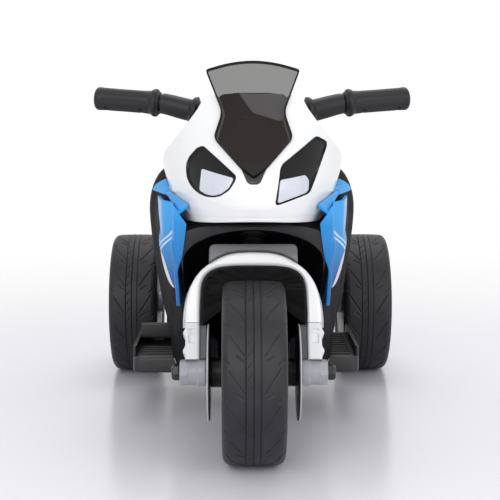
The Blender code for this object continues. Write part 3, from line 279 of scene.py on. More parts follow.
def piece(name, grids, look, body="main_body", nodes=(), sharp=38.0):
    """Grids of points become one piece: quads between neighbours, seams and poles merged,
    faces pointing out, edges sharper than an angle kept. One without a look is a tool."""
    starts = np.cumsum([0] + [grid.shape[0] * grid.shape[1] for grid in grids])
    faces = []
    for grid, first in zip(grids, starts):
        rows, columns = grid.shape[:2]
        corner = first + np.arange(rows - 1)[:, None] * columns + np.arange(columns - 1)[None]
        faces.append(np.stack((corner, corner + 1, corner + columns + 1, corner + columns),
                              -1).reshape(-1, 4))
    mesh = bpy.data.meshes.new(name)
    mesh.from_pydata(np.vstack([grid.reshape(-1, 3) for grid in grids]), [], np.vstack(faces))
    form = bmesh.new()
    form.from_mesh(mesh)
    bmesh.ops.remove_doubles(form, verts=form.verts, dist=2e-6)
    bmesh.ops.recalc_face_normals(form, faces=form.faces)
    form.to_mesh(mesh)
    form.free()
    mesh.shade_smooth()
    mesh.set_sharp_from_angle(angle=math.radians(sharp))
    made = in_scene(name, mesh)
    if look is not None:
        mesh.materials.append(look)
        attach(made, body)
        if nodes:
            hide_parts(*nodes)
    return made


def tool(*grids):
    """A form that is only used to carve others."""
    return piece("tool", grids, None)


def tyre_surface(tread_points=101, steps=640):
    """A ring section carried round the axle. The tread's radius falls by the square of the
    distance from its middle line, and the pattern lowers it: each groove or sipe is a line
    in the unrolled tread, and the depth fades with the distance from it."""
    tread = np.linspace(-TREAD_HALF, TREAD_HALF, tread_points)
    flat = np.minimum(np.abs(tread), FLAT_HALF)
    turned_in = np.clip(np.abs(tread) - FLAT_HALF, 0, ROUNDING)
    crown = WHEEL_RADIUS - 0.0007 * (flat / FLAT_HALF) ** 2 \
        - (ROUNDING - np.sqrt(ROUNDING ** 2 - turned_in ** 2))
    shoulder = eased([(TREAD_HALF, crown[-1]), (0.0314, 0.0860), (TYRE_HALF, 0.0790),
                      (0.0307, 0.0700), (0.0262, 0.0665), (0.0255, BEAD_RADIUS),
                      (0.0, BEAD_RADIUS)], 0.0035, 4, closed=False)[1:]
    section = np.vstack((np.c_[tread, crown], shoulder, shoulder[-2::-1] * (-1, 1),
                         [(tread[0], crown[0])]))
    turn = circle(steps)
    place, arc = np.meshgrid(section[:, 0], turn * WHEEL_RADIUS)
    on_tread = np.arange(len(section))[None] < tread_points
    period = 2 * np.pi * WHEEL_RADIUS / 16

    def cut_line(across0, arc0, across1, arc1, width, depth):
        """Depth of a straight cut that repeats round the tyre."""
        run = np.array((across1 - across0, arc1 - arc0))
        reach = (arc - (arc0 + arc1) / 2 + period / 2) % period - period / 2 + (arc1 - arc0) / 2
        share = np.clip(((place - across0) * run[0] + reach * run[1]) / run.dot(run), 0, 1)
        off = np.hypot(place - across0 - share * run[0], reach - share * run[1])
        return depth * np.clip(1.45 - off / width, 0, 1)

    cuts = [np.clip(1.5 - np.abs(place - line) / 0.0005, 0, 1) * 0.0009
            for line in (-0.0084, -0.0007, 0.0062)]
    for across0, arc0, across1, arc1 in ((-0.0244, 0.022, -0.0099, 0.0),
                                         (-0.0172, 0.0365, -0.0099, 0.0310),
                                         (-0.0295, -0.002, -0.0244, -0.0075),
                                         (0.0183, 0.0365, 0.0114, 0.0320),
                                         (0.0251, 0.0250, 0.0097, 0.0),
                                         (0.0290, -0.002, 0.0225, -0.0085)):
        cuts.append(cut_line(across0, arc0, across1, arc1, 0.0006, 0.0008))
    for arc0 in (0.0, 0.012, 0.024):
        cuts.append(cut_line(-0.0068, arc0, -0.0024, arc0 + 0.0060, 0.0005, 0.0006))
    lowered = section[None, :, 1] - np.max(cuts, axis=0) * on_tread
    return points(section[:, 0], lowered)


tyre_plastic = Look("tyre_plastic")
wear = tyre_plastic.noise(38.0, 4.0)
tyre_look = tyre_plastic.finished(
    tyre_plastic.mixed(wear.rise(0.35, 0.75), (0.0185, 0.0178, 0.0210),
                       (0.0268, 0.0256, 0.0298)),
    0.42 + 0.14 * wear, tyre_plastic.noise(1500.0, 2.0), 0.00004, Specular_IOR_Level=0.3)
section = tyre_surface()
for name, centre, body in (("front", FRONT_AXLE, "front_wheel"),
                           ("rear_left", REAR_AXLE + (REAR_WHEEL_X, 0, 0), "rear_left_wheel"),
                           ("rear_right", REAR_AXLE - (REAR_WHEEL_X, 0, 0), "rear_right_wheel")):
    piece(f"{name}_tread_ring", [lathe(section, len(section) - 1, centre)], tyre_look, body,
          [f"{name}_tyre"])


# Hubs: silver moulded wheels with five windows between the spokes and a deep rim barrel. The
# front one also carries the two plates that look like brake discs, silver outside, dark inside.
def moulded(name, colour, roughness, grain=0.000015, drift=0.06, coat=0.0, shine=0.5):
    """The look of a moulded plastic: its colour drifts a little, its shine is uneven where it
    has been handled, and it has a fine grain."""
    look = Look(name)
    patchy, fine = look.noise(9.0, 3.0), look.noise(1200.0, 2.0)
    handled = look.noise(55.0, 5.0, roughness=0.62).rise(0.42, 0.78)
    dim = [c * (1 - drift) for c in colour]
    lit = [min(1.0, c * (1 + drift)) for c in colour]
    return look.finished(look.mixed(patchy, dim, lit), roughness + 0.10 * handled, fine, grain,
                         Coat_Weight=coat, Coat_Roughness=0.06, Specular_IOR_Level=shine)


silver_look = moulded("silver_plastic", (0.70, 0.71, 0.735), 0.28)
black_look = moulded("black_plastic", (0.0105, 0.0105, 0.0118), 0.34, shine=0.3)
HUB_RIM, BARREL, BOSS = BEAD_RADIUS - 0.0003, 0.0565, 0.015


def hub_profile(boss_start, boss_end, web):
    """Closed section of a hub, as (place across, radius), with its corners eased."""
    half, thick = TYRE_HALF - 0.004, 0.003
    corners = [(boss_end, 0.0043), (boss_end, BOSS - 0.001), (web + thick + 0.004, BOSS),
               (web + thick, BOSS + 0.006), (web + thick, 0.048), (web + thick + 0.006, BARREL),
               (half - 0.002, BARREL), (half, BARREL + 0.002), (half, HUB_RIM), (-half, HUB_RIM),
               (-half, BARREL), (web - thick - 0.003, BARREL), (web - thick, 0.049),
               (web - thick, BOSS), (boss_start, BOSS), (boss_start, 0.0043)]
    return eased(corners, 0.0015, 3)


def turned_about(grid, centre, angle):
    """A grid turned about the X axis through a centre."""
    swing = np.array(((1, 0, 0), (0, math.cos(angle), math.sin(angle)),
                      (0, -math.sin(angle), math.cos(angle))))
    return (grid - centre) @ swing + centre


def skin(form, outer, layers, inner=None):
    """A closed skin on a surface. Each layer is a (share, inset, height) row: its points lie
    between the outer and the inner curve by the share, are drawn in by the inset, and stand
    off the surface along its normal by the height. Without an inner curve the points close in
    on the outer one's middle."""
    outer = np.asarray(outer, float)
    inner = np.broadcast_to(outer[:-1].mean(0) if inner is None else inner, outer.shape)
    share, inset, height = (np.asarray(layers, float)[:, k, None] for k in range(3))
    reach = inner - outer
    flat = outer[None] + reach[None] * share[..., None] + unit(reach)[None] * inset[..., None]
    a, b, small = flat[..., 0], flat[..., 1], 1e-5
    point = form(a, b)
    normal = unit(np.cross(form(a + small, b) - point, form(a, b + small) - point))
    return point + normal * height[..., None]


def flat_on(origin, across, upward):
    """A flat surface: the origin plus a times one direction plus b times another."""
    origin, across, upward = (np.asarray(v, float) for v in (origin, across, upward))
    return lambda a, b: origin + a[..., None] * across + b[..., None] * upward


def solid_layers(back, front, ease, crown=0.0, rings=6):
    """Layers of a slab: in from the back's middle, round the rim in quarter turns, and over
    the front, which may be crowned, to its middle."""
    quarter, inward = np.linspace(0, np.pi / 2, 5), np.linspace(0, 1, rings)
    over = np.c_[inward[::-1], ease * (1 - inward[::-1]), np.full(rings, back)]
    low = np.c_[0 * quarter, ease * (1 - np.sin(quarter)), back + ease * (1 - np.cos(quarter))]
    high = np.c_[0 * quarter, ease * (1 - np.cos(quarter)), front - ease * (1 - np.sin(quarter))]
    top = np.c_[inward, ease * (1 - inward), front + crown * (1 - (1 - inward) ** 2)]
    return np.vstack((over, low[1:], high, top[1:]))


def hub(name, centre, profile, nodes, body, look=silver_look):
    """A turned hub with five windows cut through its web."""
    made = piece(name, [lathe(profile, 140, centre)], look, body, nodes, 50.0)
    window = eased([(-0.006, 0.0215), (0.006, 0.0215), (0.0125, 0.0445), (-0.0125, 0.0445)],
                   0.004, 5)
    cutter = skin(flat_on(centre, (0, 1, 0), (0, 0, 1)), window,
                  solid_layers(-0.03, 0.03, 0.0005, rings=2))
    return carved(made, tool(*(turned_about(cutter, centre, 2 * math.pi * k / 5)
                               for k in range(5))))


def carved(made, *tools, operation="DIFFERENCE", bevel=0.0):
    """A piece with tools taken away, or kept in common, and the new edges softened."""
    for form in tools:
        step = made.modifiers.new("carved", "BOOLEAN")
        step.operation, step.object, step.solver = operation, form, "EXACT"
    if bevel:
        soft = made.modifiers.new("softened", "BEVEL")
        soft.width, soft.segments, soft.limit_method = bevel, 2, "ANGLE"
        soft.angle_limit = math.radians(50)
    graph = bpy.context.evaluated_depsgraph_get()
    mesh = bpy.data.meshes.new_from_object(made.evaluated_get(graph), depsgraph=graph)
    made.modifiers.clear()
    old, made.data = made.data, mesh
    bpy.data.meshes.remove(old)
    mesh.shade_smooth()
    mesh.set_sharp_from_angle(angle=math.radians(38))
    for form in tools:
        bpy.data.objects.remove(form)
    return made


DISC_FACE, DISC_THICK = 0.0465, 0.0025
hub("front_wheel_hub", FRONT_AXLE, hub_profile(0.0003 + DISC_THICK - DISC_FACE,
                                               DISC_FACE - DISC_THICK - 0.0003, 0.0),
    ["front_hub"], "front_wheel", black_look)
for side, name in SIDES:
    centre = REAR_AXLE + (side * REAR_WHEEL_X, 0, 0)
    profile = hub_profile(0.1195 - REAR_WHEEL_X, 0.012, 0.010) * (side, 1)
    hub(f"rear_{name}_wheel_hub", centre, profile, [f"rear_{name}_hub"], f"rear_{name}_wheel")
    cap = eased([(0.0285, 0.0), (0.0278, 0.0120), (0.0265, 0.0165), (0.0235, 0.0185),
                 (0.0133, 0.0185), (0.0133, 0.0165), (0.0195, 0.0165), (0.0195, 0.0)], 0.0016, 4,
                closed=False) * (side, 1)
    piece(f"rear_{name}_wheel_cap", [lathe(cap, 96, centre)], silver_look,
          f"rear_{name}_wheel", [f"rear_cap_{name}"])
    backing = eased([(-0.0277, 0.0162), (-0.0277, 0.0608), (-0.0293, 0.0600),
                     (-0.0293, 0.0162)], 0.0005, 3) * (side, 1)
    piece(f"rear_{name}_wheel_backing", [lathe(backing, 120, centre)], black_look,
          f"rear_{name}_wheel")

disc_plastic = Look("disc_plastic")
outer_face = abs(disc_plastic.axes()[0]).rise(DISC_FACE - 0.0016, DISC_FACE - 0.0010)
disc_look = disc_plastic.finished(
    disc_plastic.mixed(outer_face, (0.014, 0.014, 0.016), (0.52, 0.53, 0.56)),
    0.26 + 0.12 * disc_plastic.noise(30.0), disc_plastic.noise(900.0), 0.00004)
for side, name in SIDES:
    outline = eased([(DISC_FACE, 0.0043), (DISC_FACE, 0.020), (DISC_FACE - 0.0008, 0.022),
                     (DISC_FACE - 0.0008, 0.032), (DISC_FACE, 0.034), (DISC_FACE, 0.049),
                     (DISC_FACE - DISC_THICK, 0.049), (DISC_FACE - DISC_THICK, 0.0043)],
                    0.0006, 3) * (side, 1)
    piece(f"disc_plate_{name}", [lathe(outline, 160, FRONT_AXLE)], disc_look, "front_wheel",
          [f"brake_disc_{name}"])


# Fork: a white arch over a grey crown, and silver lower legs that hold the axle in round
# bosses. All are moulded halves screwed together; the whole leans back by 24 degrees.
LEAN = np.array((0.0, 0.406737, 0.913545))
FORWARD = np.array((0.0, -0.913545, 0.406737))
LEG_INNER, LEG_OUTER, LEG_TOP, LEG_DEPTH = 0.0545, 0.0693, 0.0485, 0.013
ARCH_INSIDE, CROWN_TOP, CROWN_HALF = 0.1092, 0.1308, 0.0457
fork_plane = flat_on(FRONT_AXLE, (1, 0, 0), LEAN)
white_look = moulded("white_gloss", (0.84, 0.845, 0.86), 0.15, 0.00001, 0.012, 0.4)


def both_sides(half):
    """A right-hand run of points carried on by its mirror image, to end where it mirrors."""
    half = np.asarray(half, float)
    return np.vstack((half, half[::-1][int(half[-1, 0] == 0):] * (-1, 1)))


def band_layers(back, front, ease, rings=10):
    """Layers of a strip with two rims: over the front, round the inner rim in quarter turns,
    back underneath, and round the outer rim to where they began."""
    quarter, share = np.linspace(0, np.pi / 2, 5), np.linspace(0, 1, rings)
    sink, draw = ease * (1 - np.sin(quarter)), ease * (1 - np.cos(quarter))
    rim, one = 0 * quarter, 0 * quarter + 1
    return np.vstack((np.c_[share, ease * (1 - 2 * share), np.full(rings, front)],
                      np.c_[one, -sink, front - draw],
                      np.c_[one, -sink[::-1], back + draw[::-1]],
                      np.c_[share[::-1], ease * (2 * share - 1) * -1, np.full(rings, back)],
                      np.c_[rim, sink, back + draw],
                      np.c_[rim, sink[::-1], front - draw[::-1]]))


def closed_ends(loop):
    """Close the first and the last row of a stack of rings with its middle point."""
    first, last = (loop[k:k + 1 or None].mean(1, keepdims=True) + 0 * loop[:1] for k in (0, -1))
    return np.concatenate((first, loop, last))


def capped(grid):
    """Close the two open ends of a tube of points with the middle point of each."""
    first, last = (np.broadcast_to(grid[:, k].mean(0), grid[:, :1].shape) for k in (0, -1))
    return np.concatenate((first, grid, last), axis=1)


arch_outer = eased(both_sides([(LEG_OUTER, LEG_TOP + 0.0004), (0.0694, 0.0604),
                               (0.0678, 0.0756), (0.0647, 0.0876), (0.0600, 0.0972),
                               (0.0539, 0.1050), (0.0465, 0.1112), (0.0376, 0.1172),
                               (0.0268, 0.1218), (0.0159, 0.1238), (0.0, 0.1243)]),
                   0.0042, 4, closed=False)
arch_inner = eased(both_sides([(LEG_INNER, LEG_TOP + 0.0004), (0.0545, 0.0606),
                               (0.0540, 0.0721), (0.0533, 0.0870), (0.0516, 0.0945),
                               (0.0480, 0.1006), (0.0429, 0.1046), (0.0347, 0.1076),
                               (0.0214, 0.1090), (0.0, ARCH_INSIDE)]),
                   0.0035, 4, closed=False)
strip = band_layers(-LEG_DEPTH, LEG_DEPTH, 0.0036)
piece("fork_arch_white", [capped(skin(fork_plane, spaced(arch_outer, 220), strip,
                                      spaced(arch_inner, 220)))],
      white_look, "steering_assembly", ["fork_arch"])

crown_plastic = Look("grey_plastic")
# Painted shade: the crown's grey is darker towards its top, by height.
painted_top_shade = (crown_plastic.axes()[2] + 0.02 * crown_plastic.noise(30.0)).rise(0.2070, 0.2270)
crown_look = crown_plastic.finished(
    crown_plastic.mixed(painted_top_shade, (0.215, 0.215, 0.232), (0.105, 0.105, 0.115)),
    0.34 + 0.12 * crown_plastic.noise(60.0), crown_plastic.noise(1100.0), 0.00004)
crown_edge = eased(both_sides([(CROWN_HALF, 0.0945), (CROWN_HALF, CROWN_TOP)]), 0.0065, 8)
crown = piece("fork_crown_grey", [skin(fork_plane, crown_edge,
                                       solid_layers(-0.020, 0.0185, 0.0022))],
              crown_look, "steering_assembly", ["fork_crown"])
under_arch = np.vstack((arch_outer + (0, 0.00025), [(-0.0695, 0.04), (0.0695, 0.04)]))
under_arch = np.vstack((under_arch, under_arch[:1]))
carved(crown, tool(skin(fork_plane, under_arch, solid_layers(-0.05, 0.05, 0.0002, rings=2),
                        (0, 0.08))))


def leg_surface():
    """A rounded bar along the fork: its outer side swells at two ribs by a bell curve each,
    and its front face is sunk inside a pocket."""
    rise = np.linspace(0.0112, LEG_TOP - 0.0002, 130)[:, None]
    turn = circle(128)[None]
    blunt = 0.30
    side = np.sign(np.cos(turn)) * np.abs(np.cos(turn)) ** blunt
    front = np.sign(np.sin(turn)) * np.abs(np.sin(turn)) ** blunt
    swell = 0.0024 * sum(bell(rise, rib, 0.0036) for rib in (0.0201, 0.0386))
    outer = LEG_OUTER + swell
    x = (outer + LEG_INNER) / 2 + side * (outer - LEG_INNER) / 2
    pocket = within(x, 0.0588, 0.0662, 0.0008) * within(rise, 0.0275, 0.0425, 0.0008) \
        * (front > 0.9)
    depth = LEG_DEPTH * front - 0.0016 * pocket
    return FRONT_AXLE + x[..., None] * (1, 0, 0) + rise[..., None] * LEAN \
        + depth[..., None] * FORWARD


def nutted(profile, steps, centre, hexed):
    """A turned form whose radius is scaled towards a hexagon's, cos 30 over the cosine of the
    angle from the nearest flat, by a share for each profile point."""
    turn = circle(steps)[:, None]
    flat = np.cos(np.pi / 6) / np.cos(turn % (np.pi / 3) - np.pi / 6)
    share = np.asarray(hexed)[None]
    radius = profile[None, :, 1] * (1 - share + share * flat)
    return lathe(points(profile[:, 0], radius), steps, centre)


# Painted shade: the web set back inside each leg is coloured dark grey for the shade it sits in.
web_plastic = moulded("web_plastic", (0.070, 0.070, 0.078), 0.36, shine=0.4)
boss_look = moulded("boss_plastic", (0.33, 0.335, 0.37), 0.30)
boss = eased([(0.0478, 0.0044), (0.0478, 0.0122), (0.0492, 0.0138), (0.0560, 0.0138),
              (0.0572, 0.0126), (0.0660, 0.0126), (0.0672, 0.0136), (0.0740, 0.0136),
              (0.0747, 0.0128), (0.0747, 0.0044)], 0.0007, 3)
boss_hex = np.interp(boss[:, 0], (0.0662, 0.0672), (0.0, 0.75))
web = skin(fork_plane, rectangle((0.0478, 0.0120), (0.0543, 0.0478), 0.0012),
           solid_layers(-0.009, 0.009, 0.0008))
nut = eased([(0.0749, 0.0), (0.0749, 0.0078), (0.0764, 0.0083), (0.0812, 0.0080),
             (0.0830, 0.0060), (0.0830, 0.0)], 0.0010, 4, closed=False)
nut_hex = np.interp(nut[:, 0], (0.0750, 0.0756, 0.0812, 0.0824), (0.0, 1.0, 1.0, 0.2))
nut_look = moulded("nut_plastic", (0.011, 0.011, 0.012), 0.22)
for side, name in SIDES:
    flip = (side, 1, 1)
    piece(f"fork_leg_silver_{name}",
          [capped(leg_surface().transpose(1, 0, 2)) * flip], silver_look,
          "steering_assembly", [f"fork_leg_{name}"])
    piece(f"fork_boss_{name}", [nutted(boss, 132, FRONT_AXLE, boss_hex) * flip], boss_look,
          "steering_assembly")
    piece(f"fork_web_{name}", [web * flip], web_plastic, "steering_assembly")
    piece(f"axle_nut_{name}", [nutted(nut, 96, FRONT_AXLE, nut_hex) * flip], nut_look,
          "steering_assembly", [f"axle_cap_{name}"])


# Mudguard: a black moulded liner that starts at the arch's inner edge and curls back over the
# tyre, drawn in as it goes, with three low ridges across it.
def guard_surface(steps=84):
    """The arch's inner edge swung back about the axle. Its share of drawing in follows an
    eased step with the swing, and ridges add a bell curve each to its distance."""
    edge = spaced(arch_inner, 120)[1:-1] - (0, 0.0005)
    swing = np.radians(np.linspace(-15, 71, steps))[:, None]
    draw = ramp(swing, 0, np.radians(30))
    draw = draw * draw * (3 - 2 * draw)
    ridge = 0.0007 * sum(bell(swing, at, 0.022) for at in (0.16, 0.42, 0.80))
    narrow, sine, cosine = 1 - 0.299 * draw, np.sin(swing), np.cos(swing)

    def skin_at(inset):
        x = edge[None, :, 0] * narrow * (1 - inset / LEG_INNER)
        far = (edge[None, :, 1] - inset) - (ARCH_INSIDE - 0.1015) * draw - ridge
        return points(x, FRONT_AXLE[1] + far * (sine * LEAN[2] + cosine * LEAN[1]),
                      FRONT_AXLE[2] + far * (cosine * LEAN[2] - sine * LEAN[1]))

    top, under = skin_at(0.0004), skin_at(0.0024)
    return closed_ends(np.concatenate((top, under[:, ::-1], top[:, :1]), axis=1))


liner_look = moulded("liner_plastic", (0.0050, 0.0050, 0.0056), 0.30, shine=0.12)
piece("mudguard_liner", [guard_surface()], liner_look, "steering_assembly", ["front_mudguard"])

# Steel of the column, the axles and the motor: drawn bar, so its brightness runs in fine
# lines round it. The bushes are dark nylon. A folded black sleeve round the column above the
# crown is painted shade: a dark piece put where the column sits in shade.
steel = Look("drawn_steel")
rings = steel.noise(26.0, 3.0, (30.0, 2.0, 2.0))
steel_look = steel.finished(
    steel.mixed(rings, (0.42, 0.42, 0.44), (0.66, 0.66, 0.68)),
    0.20 + 0.20 * steel.noise(180.0), rings, 0.00003, Metallic=1.0)
nylon_look = moulded("bush_nylon", (0.010, 0.010, 0.011), 0.42, shine=0.25)
# Painted shade: a dark sleeve over the column where it sits in shade above the crown.
SLEEVE_LOW, SLEEVE_HIGH, SLEEVE_BORE = 0.1314, 0.1490, 0.0084
folds = np.linspace(SLEEVE_LOW, SLEEVE_HIGH, 60)
wave = np.cos((folds - SLEEVE_LOW) / 0.0176 * 10 * np.pi)
shade_sleeve = np.vstack(([(SLEEVE_LOW, SLEEVE_BORE)], np.c_[folds, 0.0108 + 0.0009 * wave],
                  [(SLEEVE_HIGH, SLEEVE_BORE), (SLEEVE_LOW, SLEEVE_BORE)]))
piece("column_shade_sleeve", [lathe(shade_sleeve, 72, FRONT_AXLE, LEAN)], liner_look, "steering_assembly")


def coat(look, *nodes):
    """Give carried-over CAD nodes a look."""
    for node in nodes:
        for held in bpy.data.objects[node].material_slots:
            held.material = look


coat(steel_look, "steering_column", "front_axle", "rear_axle", "motor")
coat(nylon_look, "steering_bush_lower", "steering_bush_upper", "axle_bush_left",
     "axle_bush_right")


# Handlebar: a steel core in a black sleeve with a flange behind the fairing's ears, clamped in
# the yoke. The grips are two halves held by screws from below, each with a collar.
BAR_LINE = ((0.0, -0.1170, 0.3470), (0.064, -0.1060, 0.3555), (0.1010, -0.1000, 0.3640),
            (0.1690, -0.0870, 0.3691))
GRIP_START, GRIP_END = np.array((0.1010, -0.1000, 0.3640)), np.array((0.1740, -0.0860, 0.3695))


def carried(path, radius, steps):
    """A circle carried along a path: side and rise are at right angles to the path, and each
    point stands off it by the radius times their cosine and sine."""
    ahead = unit(np.gradient(path, axis=0))
    side = unit(np.cross(ahead, (0.0, 1.0, 0.0)))
    rise = np.cross(ahead, side)
    turn = circle(steps)[None, :, None]
    ring = path[:, None] + radius[:, None, None] * (np.cos(turn) * side[:, None]
                                                    + np.sin(turn) * rise[:, None])
    return np.concatenate((path[:1, None] + 0 * ring[:1], ring, path[-1:, None] + 0 * ring[-1:]))


bar_line = np.asarray(BAR_LINE)
bar_x = np.linspace(-0.1690, 0.1690, 420)
bar_path = points(bar_x, through(bar_line[:, :2], np.abs(bar_x)),
                  through(bar_line[:, ::2], np.abs(bar_x)))
bar_radius = np.interp(np.abs(bar_x), (0.0, 0.0575, 0.0595, 0.0610, 0.0650, 0.0680, 0.0800,
                                       0.0990, 0.0996, 0.1690),
                       (0.0095, 0.0098, 0.0125, 0.0160, 0.0150, 0.0120, 0.0118, 0.0112, 0.0080,
                        0.0080))
yoke_edge = eased(both_sides([(0.026, 0.2685), (0.024, 0.2960)]), 0.006, 6)
grip_look = moulded("grip_plastic", (0.0150, 0.0150, 0.0175), 0.44, 0.00003, shine=0.3)
piece("handlebar_bar", [carried(bar_path, bar_radius, 56),
                        skin(fork_plane, yoke_edge, solid_layers(-0.0165, 0.0145, 0.004))],
      grip_look, "steering_assembly", ["handlebar"])


def grip_surface(steps=120):
    """A turned grip with its collar: radius by place along it, waved by eight shallow flutes
    and sunk at two screw holes underneath."""
    run = np.linalg.norm(GRIP_END - GRIP_START)
    outer = eased([(0.0, 0.0084), (0.0, 0.0122), (0.0022, 0.0126), (0.0034, 0.0152),
                   (0.0070, 0.0153), (0.0090, 0.0140), (0.0106, 0.0127), (0.040, 0.0126),
                   (run - 0.0035, 0.0128), (run - 0.0008, 0.0104), (run, 0.0)], 0.0022, 6,
                  closed=False)
    bore = np.array([(run - 0.0046, 0.0), (run - 0.0046, 0.0083), (0.0, 0.0084)])
    body = np.vstack((spaced(outer, 110), bore))
    turn = circle(steps)[:, None]
    place = body[None, :, 0]
    held = within(place, 0.014, run - 0.006, 0.004)
    skin_points = (np.arange(len(body)) < 110)[None]
    under = np.minimum(turn, 2 * np.pi - turn) * 0.0127
    hole = sum(np.clip(1.6 - np.hypot(place - at, under - 0.0035) / 0.0019, 0, 1)
               for at in (0.0195, run - 0.0150))
    radius = body[None, :, 1] - skin_points * (0.00022 * held * (1 - np.cos(8 * turn))
                                               + 0.0034 * np.clip(hole, 0, 1))
    return lathe(points(place, radius), steps, GRIP_START, GRIP_END - GRIP_START,
                 (0.0, -0.35, -1.0))


for side, name in SIDES:
    piece(f"handle_grip_{name}", [grip_surface() * (side, 1, 1)], grip_look,
          "steering_assembly", [f"grip_{name}"])

YOKE_TOP = 0.2965
deck = flat_on(FRONT_AXLE + LEAN * (YOKE_TOP + 0.0003), (1, 0, 0), -FORWARD)
cover_edge = eased(both_sides([(0.0248, -0.0130), (0.0225, 0.0150)]), 0.007, 7)
bar_cover = piece("bar_cover", [skin(deck, cover_edge, solid_layers(0.0, 0.0068, 0.0022, 0.0006))],
                  crown_look, "steering_assembly", ["handlebar_cover"])
BUTTONS = (("horn_button", 0.012, "horn", (0.50, 0.018, 0.018), "red_lens"),
           ("music_button", -0.012, "music", (0.03, 0.22, 0.62), "blue_gloss"))


def over_yoke(profile, x, rise):
    """A form turned about a button's line, which stands on the yoke along the fork."""
    return lathe(profile, 64, FRONT_AXLE + (x, 0, 0) + LEAN * (YOKE_TOP + rise)
                 + FORWARD * -0.001, LEAN)


well = ((-0.001, 0.0), (-0.001, 0.0069), (0.02, 0.0069), (0.02, 0.0))
carved(bar_cover, tool(*(over_yoke(well, x, 0.0022) for _, x, *_ in BUTTONS)), bevel=0.0004)
dome = eased([(0.0, 0.0), (0.0, 0.0064), (0.0052, 0.0064), (0.0062, 0.0050), (0.0058, 0.0020),
              (0.0056, 0.0)], 0.0008, 4, closed=False)
for node, x, body, colour, slot in BUTTONS:
    piece(node + "_dome", [over_yoke(dome, x, 0.0035)], moulded(node, colour, 0.2), body, [node])


# Nose: one curved surface carries the whole front. The white fairing is moulded in one piece
# with two openings, and its ears reach up on both sides of the windshield over the bar.
NOSE_BACK, NOSE_TURN = -0.085, 0.1
NOSE_FRONT = ((0.240, -0.238), (0.262, -0.248), (0.285, -0.2475), (0.305, -0.231),
              (0.335, -0.203), (0.375, -0.168), (0.415, -0.134))
NOSE_WIDTH = ((0.240, 0.083), (0.265, 0.0915), (0.300, 0.100), (0.330, 0.104), (0.365, 0.102),
              (0.415, 0.096))


def nose_form(a, z):
    """Half ellipses stacked by height: across by the sine of a turn, forward by its cosine,
    where the turn is a over a fixed length."""
    turn, reach = a / NOSE_TURN, NOSE_BACK - through(NOSE_FRONT, z)
    return points(through(NOSE_WIDTH, z) * np.sin(turn), NOSE_BACK - reach * np.cos(turn), z)


def on_nose(outline, count=None):
    """Points or an outline seen from the front, as places on the nose surface."""
    x, z = (outline if count is None else spaced(outline, count)).T
    return points(NOSE_TURN * np.arcsin(np.clip(x / through(NOSE_WIDTH, z), -1, 1)), z)


def set_back(outline, distance):
    """A closed outline moved inwards: each point goes by the mean of the two side normals."""
    ring = outline[:-1]
    along = np.roll(ring, -1, 0) - np.roll(ring, 1, 0)
    inward = unit(points(-along[:, 1], along[:, 0]))
    area = (ring[:, 0] * np.roll(ring[:, 1], -1) - np.roll(ring[:, 0], -1) * ring[:, 1]).sum()
    moved = ring + inward * distance * np.sign(area)
    return np.vstack((moved, moved[:1]))


def creased_nose(a, z):
    """The nose with its lower lip drawn back below a soft line that dips to the middle."""
    tuck = 1 / (1 + np.exp((z - 0.2572 - 3.0 * a ** 2) / 0.0016))
    groove = bell(z, 0.2505 - 0.035 * np.abs(a), 0.0009)
    return nose_form(a, z) + (0.0011 * tuck + 0.0004 * groove)[..., None] * (0.0, 1.0, 0.0)


fairing_rim = eased(both_sides([(0.0510, 0.3720), (0.0578, 0.3587), (0.0735, 0.3369),
                                (0.0824, 0.3263), (0.0945, 0.3130), (0.0985, 0.3030),
                                (0.0975, 0.2930), (0.0884, 0.2676), (0.0797, 0.2468),
                                (0.0705, 0.2405), (0.0, 0.2470)]),
                    (0, 0.004, 0.003, 0.005, 0.006, 0.005, 0.006, 0.006, 0.003, 0.0014, 0.03,
                     0.0014, 0.003, 0.006, 0.006, 0.005, 0.006, 0.005, 0.003, 0.004, 0), 6,
                    closed=False)
SCREEN_EDGE = ((0.0, 0.4072), (0.0250, 0.4046), (0.0493, 0.3976), (0.0314, 0.3537),
               (0.0395, 0.3275), (0.0133, 0.2998), (0.0, 0.2895))
notch_rim = eased(both_sides([(0.0372, 0.3720), (0.0304, 0.3537), (0.0384, 0.3278),
                              (0.0128, 0.3003), (0.0058, 0.2842)]),
                  (0, 0.005, 0.003, 0.004, 0.004, 0.004, 0.004, 0.003, 0.005, 0), 6, closed=False)
fairing = piece("nose_fairing_white", [capped(skin(
    creased_nose, on_nose(fairing_rim, 420), band_layers(-0.003, 0.0, 0.0011, 56),
    on_nose(notch_rim, 420)))], white_look, "main_body", ["nose_fairing"])
front_plane = flat_on((0.0, 0.0, 0.0), (1, 0, 0), (0, 0, 1))
ROUND_BEZEL = ((-0.0513, 0.3209), (-0.0340, 0.3065), (-0.0174, 0.2921), (-0.0184, 0.2872),
               (-0.0241, 0.2783), (-0.0332, 0.2720), (-0.0405, 0.2702), (-0.0475, 0.2704),
               (-0.0542, 0.2725), (-0.0600, 0.2762), (-0.0646, 0.2812), (-0.0680, 0.2880),
               (-0.0692, 0.2967), (-0.0685, 0.3035), (-0.0657, 0.3097), (-0.0578, 0.3185))
ROUND_LENS = ((-0.0527, 0.2982), (-0.0344, 0.2935), (-0.0199, 0.2900), (-0.0245, 0.2803),
              (-0.0322, 0.2740), (-0.0404, 0.2716), (-0.0478, 0.2725), (-0.0548, 0.2763))
ANGLED_BEZEL = ((0.0651, 0.3300), (0.0685, 0.3294), (0.0774, 0.3243), (0.0771, 0.3194),
                (0.0573, 0.2742), (0.0549, 0.2726), (0.0235, 0.2629), (0.0213, 0.2645),
                (0.0266, 0.2986), (0.0289, 0.3032))
ANGLED_LENS = ((0.0262, 0.2880), (0.0524, 0.2919), (0.0561, 0.2866), (0.0557, 0.2765),
               (0.0528, 0.2737), (0.0238, 0.2648))
